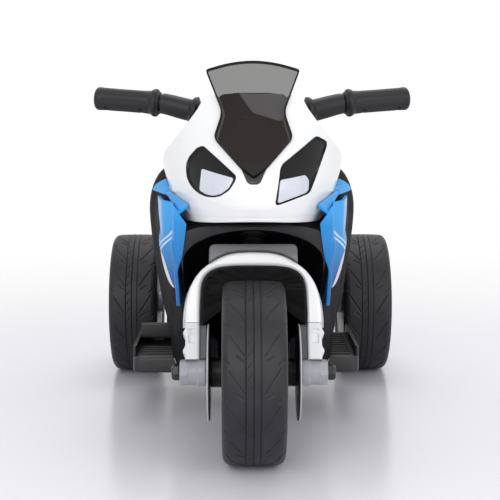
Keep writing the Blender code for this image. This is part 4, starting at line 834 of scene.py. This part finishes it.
HEADLIGHTS = {name: (spaced(eased(bezel, 0.0022, 4), 240), spaced(eased(lens, corner, 5), 200))
              for name, bezel, lens, corner in (("right", ROUND_BEZEL, ROUND_LENS, 0.0022),
                                                ("left", ANGLED_BEZEL, ANGLED_LENS, 0.0020))}
carved(fairing, tool(*(skin(front_plane, set_back(bezel, -0.0002),
                            solid_layers(0.10, 0.30, 0.0001, rings=2), bezel[:-1].mean(0))
                       for bezel, lens in HEADLIGHTS.values())), bevel=0.0005)

# Headlights: each is a deep glossy black bowl behind the fairing with a clear ribbed lens over
# its lower part; the lens has a mirror-like silver tray behind it, which is not built: the
# lens is solid, and its pale colour with upright streaks is a painted reflection of that tray.
# They are for show only.
bowl_look = moulded("bowl_plastic", (0.0060, 0.0060, 0.0070), 0.10, 0.000004, 0.05, shine=0.22)
lens_clear = Look("lens_clear")
ribs = (lens_clear.axes()[0] * 2600.0).worked("SINE")
# Painted reflection: pale upright streaks in the lens colour stand in for the silver tray seen
# through it.
painted_reflection_streaks = lens_clear.noise(34.0, 3.0, (1.0, 1.0, 0.35))
lens_look = lens_clear.finished(
    lens_clear.mixed(painted_reflection_streaks, (0.52, 0.55, 0.63), (0.72, 0.75, 0.84)),
    0.10 + 0.14 * painted_reflection_streaks, ribs, 0.00006, Coat_Weight=0.6, Coat_Roughness=0.03)
inward = np.linspace(0, 1, 14)
bowl = np.vstack((np.c_[inward[::-1], 0 * inward, np.full(14, -0.0045)],
                  [(0, 0.0, -0.0008), (0, 0.0001, -0.0001), (0, 0.0004, 0.0003),
                   (0, 0.0007, 0.0004), (0, 0.0011, 0.0003), (0, 0.0014, -0.0001),
                   (0, 0.0017, -0.0009), (0, 0.0020, -0.0013)],
                  np.c_[inward, 0.0021 * (1 - inward), -0.0014 - 0.0006 * inward]))
for name, (bezel, lens) in HEADLIGHTS.items():
    piece(f"headlight_bowl_{name}", [skin(nose_form, on_nose(bezel), bowl,
                                          on_nose(bezel[:-1].mean(0)))],
          bowl_look, "main_body", [f"headlight_bezel_{name}"])
    piece(f"headlight_glass_{name}",
          [skin(nose_form, on_nose(lens), solid_layers(-0.0034, 0.0004, 0.0009, 0.0005, 9),
                on_nose(lens[:-1].mean(0)))],
          lens_look, "main_body", [f"headlight_lens_{name}"])

# Windshield: a clear smoke-tinted sheet, thicker than it looks, screwed on over the fairing's
# notch, with a soft black bead round its rim. A dark tongue fills the notch below it.
smoke = Look("smoke_screen")
streak = smoke.noise(14.0, 3.0, (1.0, 1.0, 0.4))
smoke_look = smoke.finished(
    smoke.mixed(streak, (0.028, 0.024, 0.022), (0.044, 0.038, 0.035)),
    0.06 + 0.05 * streak, Alpha=0.49, Specular_IOR_Level=0.12)
screen_rim = spaced(eased(both_sides(SCREEN_EDGE)[:-1],
                          (0.012, 0.012, 0.0030, 0.008, 0.0045, 0.004, 0.0035,
                           0.004, 0.0045, 0.008, 0.0030, 0.012), 7), 320)
piece("windshield_smoke", [skin(nose_form, on_nose(screen_rim),
                                solid_layers(0.00045, 0.00285, 0.0009, rings=22), (0.0, 0.350))],
      smoke_look, "main_body", ["windshield"])
piece("windshield_edge", [skin(nose_form, on_nose(set_back(screen_rim, -0.0002)),
                               band_layers(0.0003, 0.0031, 0.00045, 3),
                               on_nose(set_back(screen_rim, 0.0008)))], liner_look)
tongue_look = moulded("tongue_plastic", (0.032, 0.032, 0.034), 0.24, shine=0.4)
tongue_rim = eased(both_sides([(0.0057, 0.2845), (0.0133, 0.3002), (0.0172, 0.3050)]), 0.0022, 6)
piece("nose_tongue", [skin(nose_form, on_nose(tongue_rim, 160),
                           solid_layers(-0.003, -0.0002, 0.0010, 0.0004, 10), (0.0, 0.297))],
      tongue_look, "main_body", ["nose_insert"])

# Hood: a black tray behind the windshield with the instrument pod, whose round dial with plain
# ticks faces the rider. A pale patch on the hood shows grey through the smoke sheet; it is a
# painted reflection of a lamp, not a part of the toy.
hood_rim = spaced(eased(both_sides([(0.0, 0.3776), (0.0335, 0.3756), (0.0400, 0.3690),
                                    (0.0345, 0.3537), (0.0422, 0.3275), (0.0160, 0.2975),
                                    (0.0, 0.2905)])[:-1],
                        (0.02, 0.004, 0.005, 0.008, 0.006, 0.006, 0.006, 0.006, 0.006, 0.008,
                         0.005, 0.004), 6), 260)
POD = np.array((0.0, -0.1745, 0.3325))
DIAL_UP = (0.0, 0.208, 0.978)
pod_edge = eased(both_sides([(0.022, -0.014), (0.019, 0.014)]), 0.006, 7)
piece("hood_tray", [skin(nose_form, on_nose(hood_rim),
                         solid_layers(-0.0060, -0.00345, 0.0007, rings=20), (0.0, 0.340)),
                    skin(flat_on(POD, (-1, 0, 0), DIAL_UP), pod_edge,
                         solid_layers(-0.020, 0.019, 0.004), (0.0, 0.0))],
      liner_look, "main_body", ["dashboard"])
# Painted reflection: a pale patch on the black hood stands in for a lamp's reflection.
painted_reflection_rim = eased([(-0.0150, 0.3760), (-0.0004, 0.3560), (0.0300, 0.3470), (0.0320, 0.3560),
                   (0.0372, 0.3700), (0.0330, 0.3752)], 0.002, 4)
piece("hood_painted_reflection", [skin(nose_form, on_nose(painted_reflection_rim, 140),
                          solid_layers(-0.0040, -0.0028, 0.0004, rings=10), (0.012, 0.364))],
      moulded("painted_reflection_plastic", (0.82, 0.82, 0.88), 0.25), "main_body")

dial_glass = Look("dial_glass")
across, along, upward = dial_glass.axes()
up_dial = (upward - POD[2]) * DIAL_UP[2] + (along - POD[1]) * DIAL_UP[1]
spin = up_dial.turn_from(across)
from_middle = (across * across + up_dial * up_dial) ** 0.5
tick = abs((spin * 8.0).worked("SINE")).rise(0.96, 0.99) \
    * from_middle.rise(0.0078, 0.0080) * (1.0 - from_middle.rise(0.0096, 0.0098))
needle = (1.0 - abs(spin - 2.1).rise(0.03, 0.06)) * (1.0 - from_middle.rise(0.0068, 0.0070))
dial_look = dial_glass.finished(
    dial_glass.mixed(tick.maximum(needle), (0.012, 0.012, 0.014), (0.72, 0.72, 0.72)),
    0.10 + 0.06 * dial_glass.noise(50.0), Coat_Weight=0.5)
dial = eased([(0.0180, 0.0), (0.0180, 0.0125), (0.0206, 0.0122), (0.0206, 0.0104),
              (0.0196, 0.0100), (0.0196, 0.0)], 0.0005, 3, closed=False)
piece("hood_dial", [lathe(dial, 96, POD, (0.0, DIAL_UP[2], -DIAL_UP[1]))], dial_look)


# Body: two hollow black shells, left and right, moulded and screwed together on the middle
# plane. The sides bulge to the rider's knees and draw in to the tail; the front is open.
BODY_FRONT, WALL, GAP = -0.190, 0.003, 0.00045
BODY_WIDTH = ((-0.190, 0.0790), (-0.168, 0.0950), (-0.090, 0.1085), (-0.050, 0.1180),
              (0.000, 0.113), (0.050, 0.099), (0.110, 0.086), (0.200, 0.078), (0.270, 0.062),
              (0.312, 0.040))
BODY_BOTTOM = ((-0.190, 0.150), (-0.130, 0.100), (-0.090, 0.060), (-0.050, 0.055),
               (0.100, 0.055), (0.125, 0.060), (0.150, 0.115), (0.200, 0.140), (0.270, 0.170),
               (0.312, 0.215))
BODY_TOP = ((-0.190, 0.238), (-0.165, 0.2415), (-0.145, 0.256), (-0.120, 0.280),
            (-0.085, 0.300), (-0.050, 0.303), (0.000, 0.280), (0.040, 0.250), (0.100, 0.236),
            (0.200, 0.243), (0.270, 0.262), (0.312, 0.278))
BODY_SECTION = ((0.0, 0.0), (0.70, 0.0), (0.775, 0.06), (0.827, 0.22), (0.886, 0.334),
                (0.950, 0.52), (1.0, 0.755), (0.970, 0.86), (0.87, 0.94), (0.62, 0.99), (0.0, 1.0))
section_run = np.r_[0.0, np.cumsum(np.hypot(*np.diff(BODY_SECTION, axis=0).T))]
half_section = points(*(through(np.c_[section_run, column], np.linspace(0, section_run[-1], 84))
                        for column in zip(*BODY_SECTION)))


def side_lines(y, share):
    """Depth of the lines pressed into the body's sides: two long ones that rise to the tail,
    and five short slanting ones behind the knee; each fades with the distance from it."""
    long_line = sum(bell(share, at + 0.30 * (y + 0.05), 0.012) for at in (0.400, 0.455)) \
        * within(y, -0.100, 0.285, 0.03)
    slant = (y - 0.07 * share + 0.004) / 0.013
    nearest = np.round(slant)
    short = bell(slant, nearest, 0.16) * (nearest >= 0) * (nearest <= 4) \
        * within(share, 0.600, 0.760, 0.02)
    return 0.0011 * np.clip(long_line, 0, 1) + 0.0014 * short


def body_grid(grow=0.0, front=0.0, back=0.0, middle=None, rows=120):
    """Sections of the body along its length: half width, underside and top each follow a
    smooth curve, and a section's shares stretch between them. A middle gives a half body."""
    y = np.linspace(BODY_FRONT, BODY_TOP[-1][0], rows)[:, None]
    wide, low, high = (through(rows_of, y) for rows_of in (BODY_WIDTH, BODY_BOTTOM, BODY_TOP))
    x = (wide + grow) * half_section[None, :, 0]
    z = low - grow + (high - low + 2 * grow) * half_section[None, :, 1]
    if middle is not None:
        x = x - side_lines(y, half_section[None, :, 1]) * (half_section[None, :, 0] > 0.7)
    y = y + 0 * x
    y[0] -= front
    y[-1] += back
    right = points(np.maximum(x, middle or 0.0), y, z)
    if middle is None:
        loop = np.concatenate((right, right[:, ::-1] * (-1, 1, 1)), axis=1)
    else:
        loop = np.concatenate((right, right[:, :1]), axis=1)
    return closed_ends(loop)


SWEPT_BALL, SWEPT_POST, SWEPT_TOP, SWEPT_DOME = 0.107, 0.073, 0.1468, 0.030


def sweep_profile(grow=0.0):
    """The room that the fork and wheel sweep: a ball about the axle, a post round the
    steering axis and a domed top, as (place along the axis, radius)."""
    ball, post, top = SWEPT_BALL + grow, SWEPT_POST + grow, SWEPT_TOP + grow
    lean = np.linspace(0, np.pi / 2, 12)
    meet = np.linspace(math.asin(post / ball), np.pi - 0.1, 40)
    return np.vstack(([(top, 0.0)],
                      np.c_[top - SWEPT_DOME * (1 - np.cos(lean)), post * np.sin(lean)],
                      np.c_[ball * np.cos(meet), ball * np.sin(meet)],
                      [(-ball * 0.995, 0.0)]))


def sweep_tool():
    return tool(lathe(sweep_profile(), 160, FRONT_AXLE, LEAN))


def rod(radius, low, high, steps, start, towards=(1.0, 0.0, 0.0)):
    """A round bar between two places along an axis."""
    return lathe(((low, 0.0), (low, radius), (high, radius), (high, 0.0)), steps, start, towards)


def bush_tool():
    return tool(rod(0.0114, 0.12, 0.37, 48, FRONT_AXLE, LEAN))


def fairing_tool(gap, back):
    """The room of the fairing with a gap all round, from a depth behind its face."""
    edge = spaced(np.vstack((fairing_rim, fairing_rim[:1])), 300)
    return tool(skin(nose_form, on_nose(set_back(edge, -gap)),
                     solid_layers(-back, 0.0006, 0.0002, rings=16), (0.0, 0.31)))


def slab(low, high, corner, ease=0.001, taper=0.0, steps=5, rings=4):
    """A block with rounded corners seen from above and eased edges; a taper draws its top in."""
    layers = solid_layers(low[2], high[2], ease, rings=rings)
    layers[:, 1] += taper * ramp(layers[:, 2], low[2], high[2] - low[2]) * (layers[:, 0] < 1)
    return skin(flat_on((0, 0, 0), (1, 0, 0), (0, 1, 0)),
                rectangle(low[:2], high[:2], corner, steps), layers)


def room(low, high, corner):
    return tool(slab(low, high, corner, 0.0004, steps=4, rings=2))


def other_side(made, nodes=()):
    """The mirror image of a left piece, with its faces turned back outwards."""
    twin = in_scene(made.name.replace("left", "right"), made.data.copy())
    points = np.empty(len(twin.data.vertices) * 3)
    twin.data.vertices.foreach_get("co", points)
    points[::3] *= -1
    twin.data.vertices.foreach_set("co", points)
    twin.data.flip_normals()
    twin.data.update()
    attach(twin, "main_body")
    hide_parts(*nodes)
    return twin


shell = Look("body_plastic")
patchy, rubbed = shell.noise(7.0, 3.0), shell.noise(42.0, 5.0, roughness=0.62).rise(0.45, 0.80)
shell_look = shell.finished(
    shell.mixed(patchy, (0.0115, 0.0115, 0.0130), (0.0150, 0.0150, 0.0168)),
    0.50 + 0.12 * rubbed, shell.noise(1300.0), 0.00001, Specular_IOR_Level=0.015)
left_shell = piece("body_shell_left", [body_grid(middle=0.00015, rows=300)], shell_look,
                   nodes=["chassis_left"])
carved(left_shell, sweep_tool(), tool(body_grid(-WALL, 0.010, -WALL)),
       fairing_tool(0.0006, 0.0036), bush_tool(),
       room((-0.1123, 0.1277, -0.05), (0.1123, 0.2643, 0.1383), 0.002),
       room((-0.046, 0.050, 0.18), (0.046, 0.184, 0.40), 0.008))
other_side(left_shell, ["chassis_right"])
carved(left_shell, tool(rod(0.0065, -0.02, 0.02, 48, (0.082, 0.070, 0.150))))

# Front panel: closes the body round the fork, with a rounded opening that leads into a deep
# wheel well, so that nothing of the inside shows when the wheel turns.
front_loop = np.vstack((half_section, half_section[::-1] * (-1, 1)))
front_ring = front_loop * (0.0790, 0.088) + (0, 0.150)
panel_look = moulded("panel_plastic", (0.0170, 0.0160, 0.0200), 0.40, shine=0.3)
front_panel = piece("front_panel", [skin(
    flat_on((0, BODY_FRONT, 0), (1, 0, 0), (0, 0, 1)), spaced(front_ring, 260),
    solid_layers(0.0003, 0.0045, 0.0016, rings=8), (0.0, 0.20))], panel_look,
    nodes=["arch_panel"])
carved(front_panel, sweep_tool(), bevel=0.0008)
well = piece("wheel_well", [lathe(sweep_profile(0.0025), 160, FRONT_AXLE, LEAN)], liner_look)
carved(carved(well, sweep_tool(), bush_tool()),
       tool(body_grid(-WALL - 0.0003, 0.0002, -WALL)), operation="INTERSECT")

# Side panels: glossy blue blades beside the fork opening. Each is folded round the front corner
# of the body and ends in a point, with a thin silver strip clipped on behind its lower edge.
PANEL_INNER = ((0.1535, 0.0757), (0.1750, 0.0772), (0.1915, 0.0779), (0.2042, 0.0742),
               (0.2250, 0.0708), (0.2480, 0.0682))
PANEL_BACK = ((0.1535, -0.1790), (0.1730, -0.1755), (0.1890, -0.1745), (0.2065, -0.1715),
              (0.2180, -0.1630), (0.2345, -0.1520), (0.2495, -0.1390), (0.2640, -0.1290))


def body_reach(y, z):
    """Half width of the body at a place along it and a height."""
    low, high = through(BODY_BOTTOM, y), through(BODY_TOP, y)
    share = np.interp(np.minimum((z - low) / (high - low), 0.86), half_section[6:, 1],
                      half_section[6:, 0])
    return through(BODY_WIDTH, y) * share


def raised(point, height):
    """A grid of points moved along the cross product of its two directions."""
    normal = unit(np.cross(np.gradient(point, axis=0), np.gradient(point, axis=1)))
    return point + normal * height


def panel_surface(proud, rows=110, along=46):
    """Rows from the point up to the top: each runs over the front flange, round the fold in
    a quarter turn and back along the body's side, proud of it, to the rear edge."""
    t, s = np.linspace(0, 1, rows)[:, None], np.linspace(0, 1, along)[None]
    to_rear = ramp(s, 0.45, 0.55)
    top = np.interp(s, (0.0, 0.22, 0.38, 0.50, 1.0), (0.2402, 0.2485, 0.2575, 0.2620, 0.2640))
    z = 0.1545 + (top - 0.1545) * t
    back, inner = through(PANEL_BACK, z), through(PANEL_INNER, z)
    y_side = BODY_FRONT - 0.002 + (back - BODY_FRONT + 0.002) * to_rear
    corner = np.maximum(body_reach(np.full_like(z, BODY_FRONT), z) + 0.0062, inner + 0.0042)
    bulge = 0.0027 * (1 - to_rear) ** 1.5
    x_side = np.maximum(body_reach(np.maximum(y_side, BODY_FRONT), z) + 0.0035 + bulge,
                        corner - 0.0030 * (1 - bulge / 0.0027))
    flange = ramp(s, 0, 0.38)
    fold = ramp(s, 0.38, 0.07) * np.pi / 2
    x_front = inner + (corner - 0.0022 - inner) * flange + 0.0022 * np.sin(fold)
    y_front = -0.1972 - 0.0006 * np.sin(np.pi * flange) + 0.0052 * (1 - np.cos(fold))
    x, y = np.where(s < 0.45, x_front, x_side), np.where(s < 0.45, y_front, y_side)
    return raised(points(x, y, z), -proud)


def thick_sheet(outer, inner):
    """A closed sheet: the outer rows run on into the inner ones, and both ends are closed."""
    return closed_ends(np.concatenate((outer, inner[:, ::-1], outer[:, :1]), axis=1))


blue = Look("blue_gloss")
across, along, upward = blue.axes()
# Painted shade: the blue is darker towards the bottom, and darker again on the faces that look
# forward, below the top edge.
painted_low_shade = upward.rise(0.150, 0.262)
painted_front_shade = 1.0 - along.rise(-0.1945, -0.1915)
paint = blue.mixed(painted_low_shade, (0.010, 0.072, 0.260), (0.034, 0.360, 0.830))
paint = blue.mixed(painted_front_shade * 0.55 * (1.0 - upward.rise(0.235, 0.262)), paint,
                   (0.012, 0.170, 0.480))
# Painted highlights: two pale slanting lines on the side faces, below the top edge.
slant = along * 0.62 + upward * 0.78
upper_painted_highlight, lower_painted_highlight = (1.0 - abs(slant - at).rise(0.0011, 0.0014)
                              for at in (0.0640, 0.0590))
beside = along.rise(-0.1880, -0.1870) * (1.0 - upward.rise(0.2440, 0.2450))
blue_look = blue.finished(
    blue.mixed((upper_painted_highlight + lower_painted_highlight) * beside * 0.65, paint, (0.72, 0.84, 0.95)),
    0.20 + 0.10 * blue.noise(40.0, 4.0), blue.noise(1100.0), 0.00001,
    Specular_IOR_Level=0.32)
left_panel = carved(piece(
    "side_panel_blue_left", [thick_sheet(panel_surface(0.0), panel_surface(-0.0026))],
    blue_look, "main_body", ["side_panel_left"]), bevel=0.0006)
other_side(left_panel, ["side_panel_right"])


def trim_surface(proud, rows=60):
    """A strip behind the panel's lower rear edge, laid on the body."""
    z = np.linspace(0.1700, 0.2140, rows)[:, None]
    s = np.linspace(0, 1, 6)[None]
    width = 0.0130 * np.sin(np.pi * ramp(z, 0.1690, 0.0460)) ** 0.6
    y = through(PANEL_BACK, z) + 0.0006 + width * s
    return points(body_reach(y, z) + 0.0006 + proud, y, z)


left_trim = piece("panel_trim_left", [thick_sheet(trim_surface(0.0016), trim_surface(0.0))],
                  silver_look)
other_side(left_trim)

# Fins: blue blades above the panels, screwed to the body from inside. Each starts broad at
# the fairing's lower corner, narrows where it passes the fairing and ends in a broad tip.
FIN_AT, FIN_DEEP = (0.0, 0.047, 0.072, 0.106), 0.012
FIN_LOW = ((0.0776, -0.1970, 0.2519), (0.0911, -0.1520, 0.2672), (0.0931, -0.1260, 0.2640),
           (0.1100, -0.0900, 0.2672))
FIN_HIGH = ((0.0676, -0.1970, 0.2605), (0.0870, -0.1500, 0.2690), (0.0880, -0.1250, 0.2680),
            (0.0940, -0.1030, 0.2800))


def fin_form(a, b):
    """Straight lines between two edges in space: a runs along both, b from one to the other."""
    low, high = (points(*(np.interp(a, FIN_AT, column) for column in zip(*edge)))
                 for edge in (FIN_LOW, FIN_HIGH))
    return low + (high - low) * (b / FIN_DEEP)[..., None]


def fin_sheet(proud):
    """The fin's surface moved off itself; towards the rear tip it also swells like a sine."""
    a, b = np.meshgrid(np.linspace(0, FIN_AT[-1], 90), np.linspace(0, FIN_DEEP, 10),
                       indexing="ij")
    swell = 0.0040 * ramp(a, 0.055, 0.020) * (0.45 + 0.55 * np.sin(b / FIN_DEEP * np.pi))
    return raised(fin_form(a, b), (proud + swell)[..., None])


left_fin = piece("fin_blue_left", [thick_sheet(fin_sheet(0.0006), fin_sheet(-0.0030))], blue_look,
                 "main_body", ["air_fin_left"])
carved(left_fin, tool(body_grid(GAP)), fairing_tool(0.0002, 0.016), bevel=0.0004)
other_side(left_fin, ["air_fin_right"])


# Tank cover, seat and tail cowl: hollow moulded covers with a rounded top and upright sides,
# whose rims follow the body. The seat hinges at its front and lifts off the bay.
TANK_STATIONS = ((-0.158, 0.066, 0.290), (-0.140, 0.076, 0.308), (-0.112, 0.086, 0.317),
                 (-0.080, 0.092, 0.320), (-0.040, 0.092, 0.316), (-0.005, 0.083, 0.300),
                 (0.020, 0.068, 0.277), (0.034, 0.056, 0.262))
SEAT_STATIONS = ((0.0365, 0.052, 0.260), (0.060, 0.058, 0.258), (0.100, 0.066, 0.258),
                 (0.150, 0.070, 0.264), (0.195, 0.064, 0.276))
TAIL_STATIONS = ((0.197, 0.062, 0.300), (0.225, 0.058, 0.318), (0.260, 0.050, 0.334),
                 (0.295, 0.041, 0.344), (0.322, 0.032, 0.346))


SHOULDER_DROP, FOOT_SHARE = 0.018, 0.96


def crown_grid(stations, inset, depth, relief=None, rows=90, columns=97):
    """Sections with upright sides and a rounded top: across by the 0.6th power of a cosine,
    and down by one minus the 0.75th power of a sine. A relief lowers the top by place."""
    table = np.asarray(stations)
    y = np.linspace(table[0, 0] + inset, table[-1, 0] - inset, rows)[:, None]
    wide, high = through(table[:, :2], y) - inset, through(table[:, ::2], y) - inset
    lean = np.linspace(0, np.pi, columns)[None]
    x = wide * np.sign(np.cos(lean)) * np.abs(np.cos(lean)) ** 0.6
    z = high - SHOULDER_DROP * (1 - np.abs(np.sin(lean)) ** 0.75)
    if relief is not None:
        z = z - relief(x, y + 0 * x)
    base = through(BODY_TOP, y) - depth
    foot, top = points(wide * FOOT_SHARE, y, base), points(x, y, z)
    return closed_ends(np.concatenate((foot, top, foot * (-1, 1, 1), foot), 1))


def cover(name, node, stations, look, body, slot, relief, *tools):
    """A hollow cover that ends on the body, with its rims and corners softened."""
    made = piece(name, [crown_grid(stations, 0.0, 0.012, relief)], look, body, [node])
    return carved(made, tool(crown_grid(stations, WALL, 0.024)),
                  tool(body_grid(GAP, 0.02, 0.013)), *tools, bevel=0.0008)


def tank_relief(x, y):
    """A pressed line along each shoulder that parts by the square of the place along it."""
    line = 0.0007 * bell(np.abs(x), 0.055 + 0.6 * (y + 0.05) ** 2, 0.0011)
    return line * ramp(y, -0.140, 0.02) * ramp(-y, -0.004, 0.015)


SWITCH_X, SWITCH_Y = 0.024, -0.020
SWITCH_LEVEL = float(through([row[::2] for row in TANK_STATIONS], SWITCH_Y)) - 0.0012
cover("tank_cover_white", "tank_cover", TANK_STATIONS, white_look, "main_body", "white_gloss",
      tank_relief, bush_tool(),
      *(room((x - 0.0082, SWITCH_Y - 0.0062, SWITCH_LEVEL - 0.0100),
             (x + 0.0082, SWITCH_Y + 0.0062, SWITCH_LEVEL + 0.03), 0.0012)
        for x in (SWITCH_X, -SWITCH_X)))

seat_plastic = Look("seat_plastic")
pebbled = seat_plastic.node("TexVoronoi", {"feature": "DISTANCE_TO_EDGE"},
                            {"Vector": seat_plastic.place(), "Scale": 420.0}).rise(0.0, 0.22)
sat_on = seat_plastic.noise(16.0, 4.0)
seat_look = seat_plastic.finished(
    seat_plastic.mixed(sat_on, (0.0120, 0.0120, 0.0130), (0.0185, 0.0185, 0.0200)),
    0.36 + 0.16 * sat_on.rise(0.35, 0.7), pebbled, 0.00025)


def seat_relief(x, y):
    """A seam groove that follows the rim, and a pan that sinks where the child sits."""
    rim = 0.052 + 0.012 * ramp(y, 0.05, 0.1) - 0.010 * ramp(y, 0.17, 0.02)
    seam = 0.0011 * bell(np.abs(x), rim - 0.006, 0.0010)
    rails = 0.0008 * sum(bell(y, at, 0.0016) for at in (0.075, 0.100, 0.125, 0.150))
    inside = ramp(-np.abs(x), 0.012 - rim, 0.004)
    pan = 0.0022 * bell(x, 0, 0.030) * bell(y, 0.115, 0.045)
    return seam * (y > 0.042) * (y < 0.190) + rails * inside + pan


cover("seat_black", "seat", SEAT_STATIONS, seat_look, "seat_lid", "black_plastic", seat_relief)


def tail_relief(x, y):
    """Two pressed lines that run back along the cowl."""
    return 0.0007 * bell(np.abs(x), 0.030 - 0.10 * (y - 0.197), 0.0011) * ramp(y, 0.205, 0.01)


cover("tail_cowl_white", "tail_cowl", TAIL_STATIONS, white_look, "main_body", "white_gloss",
      tail_relief)

# Tail light: a red lens with fine upright ribs, clipped on the end of the white cowl. It is a
# reflector only, with no lamp behind it.
red_lens = Look("red_lens")
red_look = red_lens.finished(
    red_lens.mixed(red_lens.noise(60.0), (0.36, 0.006, 0.006), (0.55, 0.016, 0.014)),
    0.14 + 0.08 * red_lens.noise(90.0), (red_lens.axes()[0] * 1900.0).worked("SINE"), 0.0004,
    Coat_Weight=0.6)
light_rim = eased([(-0.021, 0.292), (0.021, 0.292), (0.018, 0.318), (-0.018, 0.318)], 0.004, 6)
piece("tail_light_lens", [skin(flat_on((0, 0.3223, 0), (-1, 0, 0), (0, 0, 1)), light_rim,
                               solid_layers(0.0, 0.0066, 0.0012, 0.0008), (0.0, 0.305))],
      red_look, "main_body", ["tail_light"])

# Rocker switches: a red one for power with a ring and a bar, and a grey one for forward or
# reverse with two arrows. Both keys sit in rounded openings of the tank cover.
def rocker_form(a, b):
    """A flat key whose top rises to both ends by the square of the distance."""
    return points(a, b, SWITCH_LEVEL + 40.0 * (b - SWITCH_Y) ** 2)


for x, node, body, colour, slot in (
        (SWITCH_X, "power_switch", "power", (0.42, 0.012, 0.010), "red_lens"),
        (-SWITCH_X, "direction_switch", "direction", (0.10, 0.10, 0.11), "grey_plastic")):
    rocker = Look(node)
    across, along, upward = rocker.axes()
    front_half, back_half = along - (SWITCH_Y - 0.0026), along - (SWITCH_Y + 0.0026)
    beside = across - x
    if x > 0:
        ring = abs((beside * beside + back_half * back_half) ** 0.5 - 0.0011)
        bar = abs(beside).maximum(abs(front_half) - 0.0009)
        mark = 1.0 - ring.minimum(bar).rise(0.00018, 0.00030)
    else:
        front_mark, back_mark = (
            (1.0 - (abs(beside) + half * slope - 0.0002).rise(0.0, 0.0001))
            * (1.0 - abs(half).rise(0.0012, 0.0013))
            for slope, half in ((-0.8, front_half), (0.8, back_half)))
        mark = front_mark + back_mark
    rocker_look = rocker.finished(
        rocker.mixed(mark, colour, (0.75, 0.75, 0.75)),
        0.24 + 0.10 * rocker.noise(200.0), rocker.noise(900.0), 0.00003)
    key = rectangle((x - 0.0075, SWITCH_Y - 0.0050), (x + 0.0075, SWITCH_Y + 0.0050), 0.0010)
    piece(node + "_key", [skin(rocker_form, key, solid_layers(-0.0085, 0.0012, 0.0006, rings=7),
                               (x, SWITCH_Y))],
          rocker_look, body, [node])

# Charging socket: a grey ring with a contact pin, set in the left side below the seat, where
# the charger's plug goes in.
socket_look = moulded("socket_plastic", (0.09, 0.09, 0.10), 0.35)
coat(socket_look, "charging_socket")


# Footrests: black moulded trays screwed to both sides of the body, open underneath, with
# anti-slip ribs and a raised outer lip. The rider's right one also carries the pedal.
REST_TOP, REST_BOTTOM, REST_FRONT, REST_BACK, REST_INNER = 0.0705, 0.0520, -0.062, 0.094, 0.072
foot_look = moulded("foot_plastic", (0.0135, 0.0135, 0.0150), 0.40, 0.00006)
for side, name, outer, last_rib in ((1, "left", 0.126, 0.082), (-1, "right", 0.1395, 0.006)):
    flip = (side, 1, 1)
    rest = piece(f"footrest_tray_{name}",
                 [slab((REST_INNER, REST_FRONT, REST_BOTTOM), (outer, REST_BACK, REST_TOP),
                       0.012, 0.003, 0.001) * flip], foot_look, nodes=[f"footrest_{name}"])
    under = slab((REST_INNER + 0.016, REST_FRONT + 0.0040, REST_BOTTOM - 0.01),
                 (outer - 0.0055, REST_BACK - 0.0040, REST_TOP - 0.0035), 0.009)
    carved(rest, tool(under * flip), tool(body_grid(GAP)))
    ribs = [slab((REST_INNER + 0.020, y, REST_TOP - 0.002),
                 (outer - 0.009, y + 0.0032, REST_TOP + 0.0018), 0.0012, 0.0008) * flip
            for y in np.arange(REST_FRONT + 0.016, last_rib, 0.013)]
    lip = slab((outer - 0.0042, REST_FRONT + 0.010, REST_BOTTOM + 0.004),
               (outer - 0.0002, REST_BACK - 0.007, REST_TOP + 0.0112), 0.0018, 0.0014) * flip
    hinge_ears = [slab((x - 0.0020, 0.070, REST_TOP - 0.003), (x + 0.0020, 0.082, 0.0815), 0.0019,
                       0.0012) for x in (-0.0940, -0.1370) if side < 0]
    piece(f"footrest_ribs_{name}", ribs + [lip] + hinge_ears, foot_look)

# Pedal: a hollow black wedge on a pin at the heel, with grip ribs across its sole; pressed, it
# sinks onto the grey switch under its toe.
SIDE_LOW, SIDE_HIGH = -0.1345, -0.0965
pedal_side = eased([(0.0800, 0.0805), (0.0120, 0.0980), (0.0120, 0.0778), (0.0330, 0.0775),
                    (0.0795, 0.0735)], 0.0035, 6)
from_side = flat_on((0, 0, 0), (0, 1, 0), (0, 0, 1))
pedal_grids = [skin(from_side, pedal_side, solid_layers(SIDE_LOW, SIDE_HIGH, 0.0018, rings=5),
                    (0.036, 0.0850))]
sole = np.array((0.0675, -0.0175)) / math.hypot(0.0675, 0.0175)
for down in np.linspace(0.0064, 0.0512, 8):
    rib = eased([(0.0, -0.0012), (0.0024, -0.0018), (0.0024, 0.0006), (0.0, 0.0012)], 0.0006, 3)
    pedal_grids.append(skin(from_side, rib + (0.0150, 0.0968) + sole * down,
                            solid_layers(SIDE_LOW + 0.004, SIDE_HIGH - 0.004, 0.0006, rings=2)))
pin = eased([(0.0, 0.0), (0.0, 0.0022), (0.0460, 0.0022), (0.0460, 0.0)], 0.0004, 3, closed=False)
pedal_grids.append(lathe(pin, 32, (SIDE_LOW - 0.004, 0.076, 0.077)))
piece("pedal_sole", pedal_grids, moulded("pedal_plastic", (0.020, 0.020, 0.022), 0.42, 0.00006),
      "pedal", ["accelerator_pedal"])
coat(socket_look, "pedal_switch")

# Rear frame: a black tub turned upside down between the rear wheels, with stiffening ribs on
# its back wall. It carries the axle, the gearbox with its motor, and above it the battery.
frame_tub = piece("rear_frame_tub", [slab((-0.112, 0.128, 0.060), (0.112, 0.264, 0.138), 0.014,
                                          0.005, 0.0012)], black_look, nodes=["rear_frame"])
carved(frame_tub, tool(slab((-0.109, 0.131, 0.04), (0.109, 0.261, 0.135), 0.011)),
       tool(rod(0.0090, -0.15, 0.15, 64, REAR_AXLE)), bevel=0.0006)
rear_wall = flat_on((0, 0.2630, 0), (-1, 0, 0), (0, 0, 1))
piece("rear_frame_ribs", [skin(rear_wall, rectangle((x - 0.0018, 0.068), (x + 0.0018, 0.126),
                                                    0.0016, 3),
                               solid_layers(-0.001, 0.0022, 0.001, rings=2))
                          for x in np.linspace(0.075, -0.075, 6)], black_look)
case_look = moulded("case_plastic", (0.055, 0.055, 0.060), 0.42, 0.00005)
coat(case_look, "gearbox", "battery")
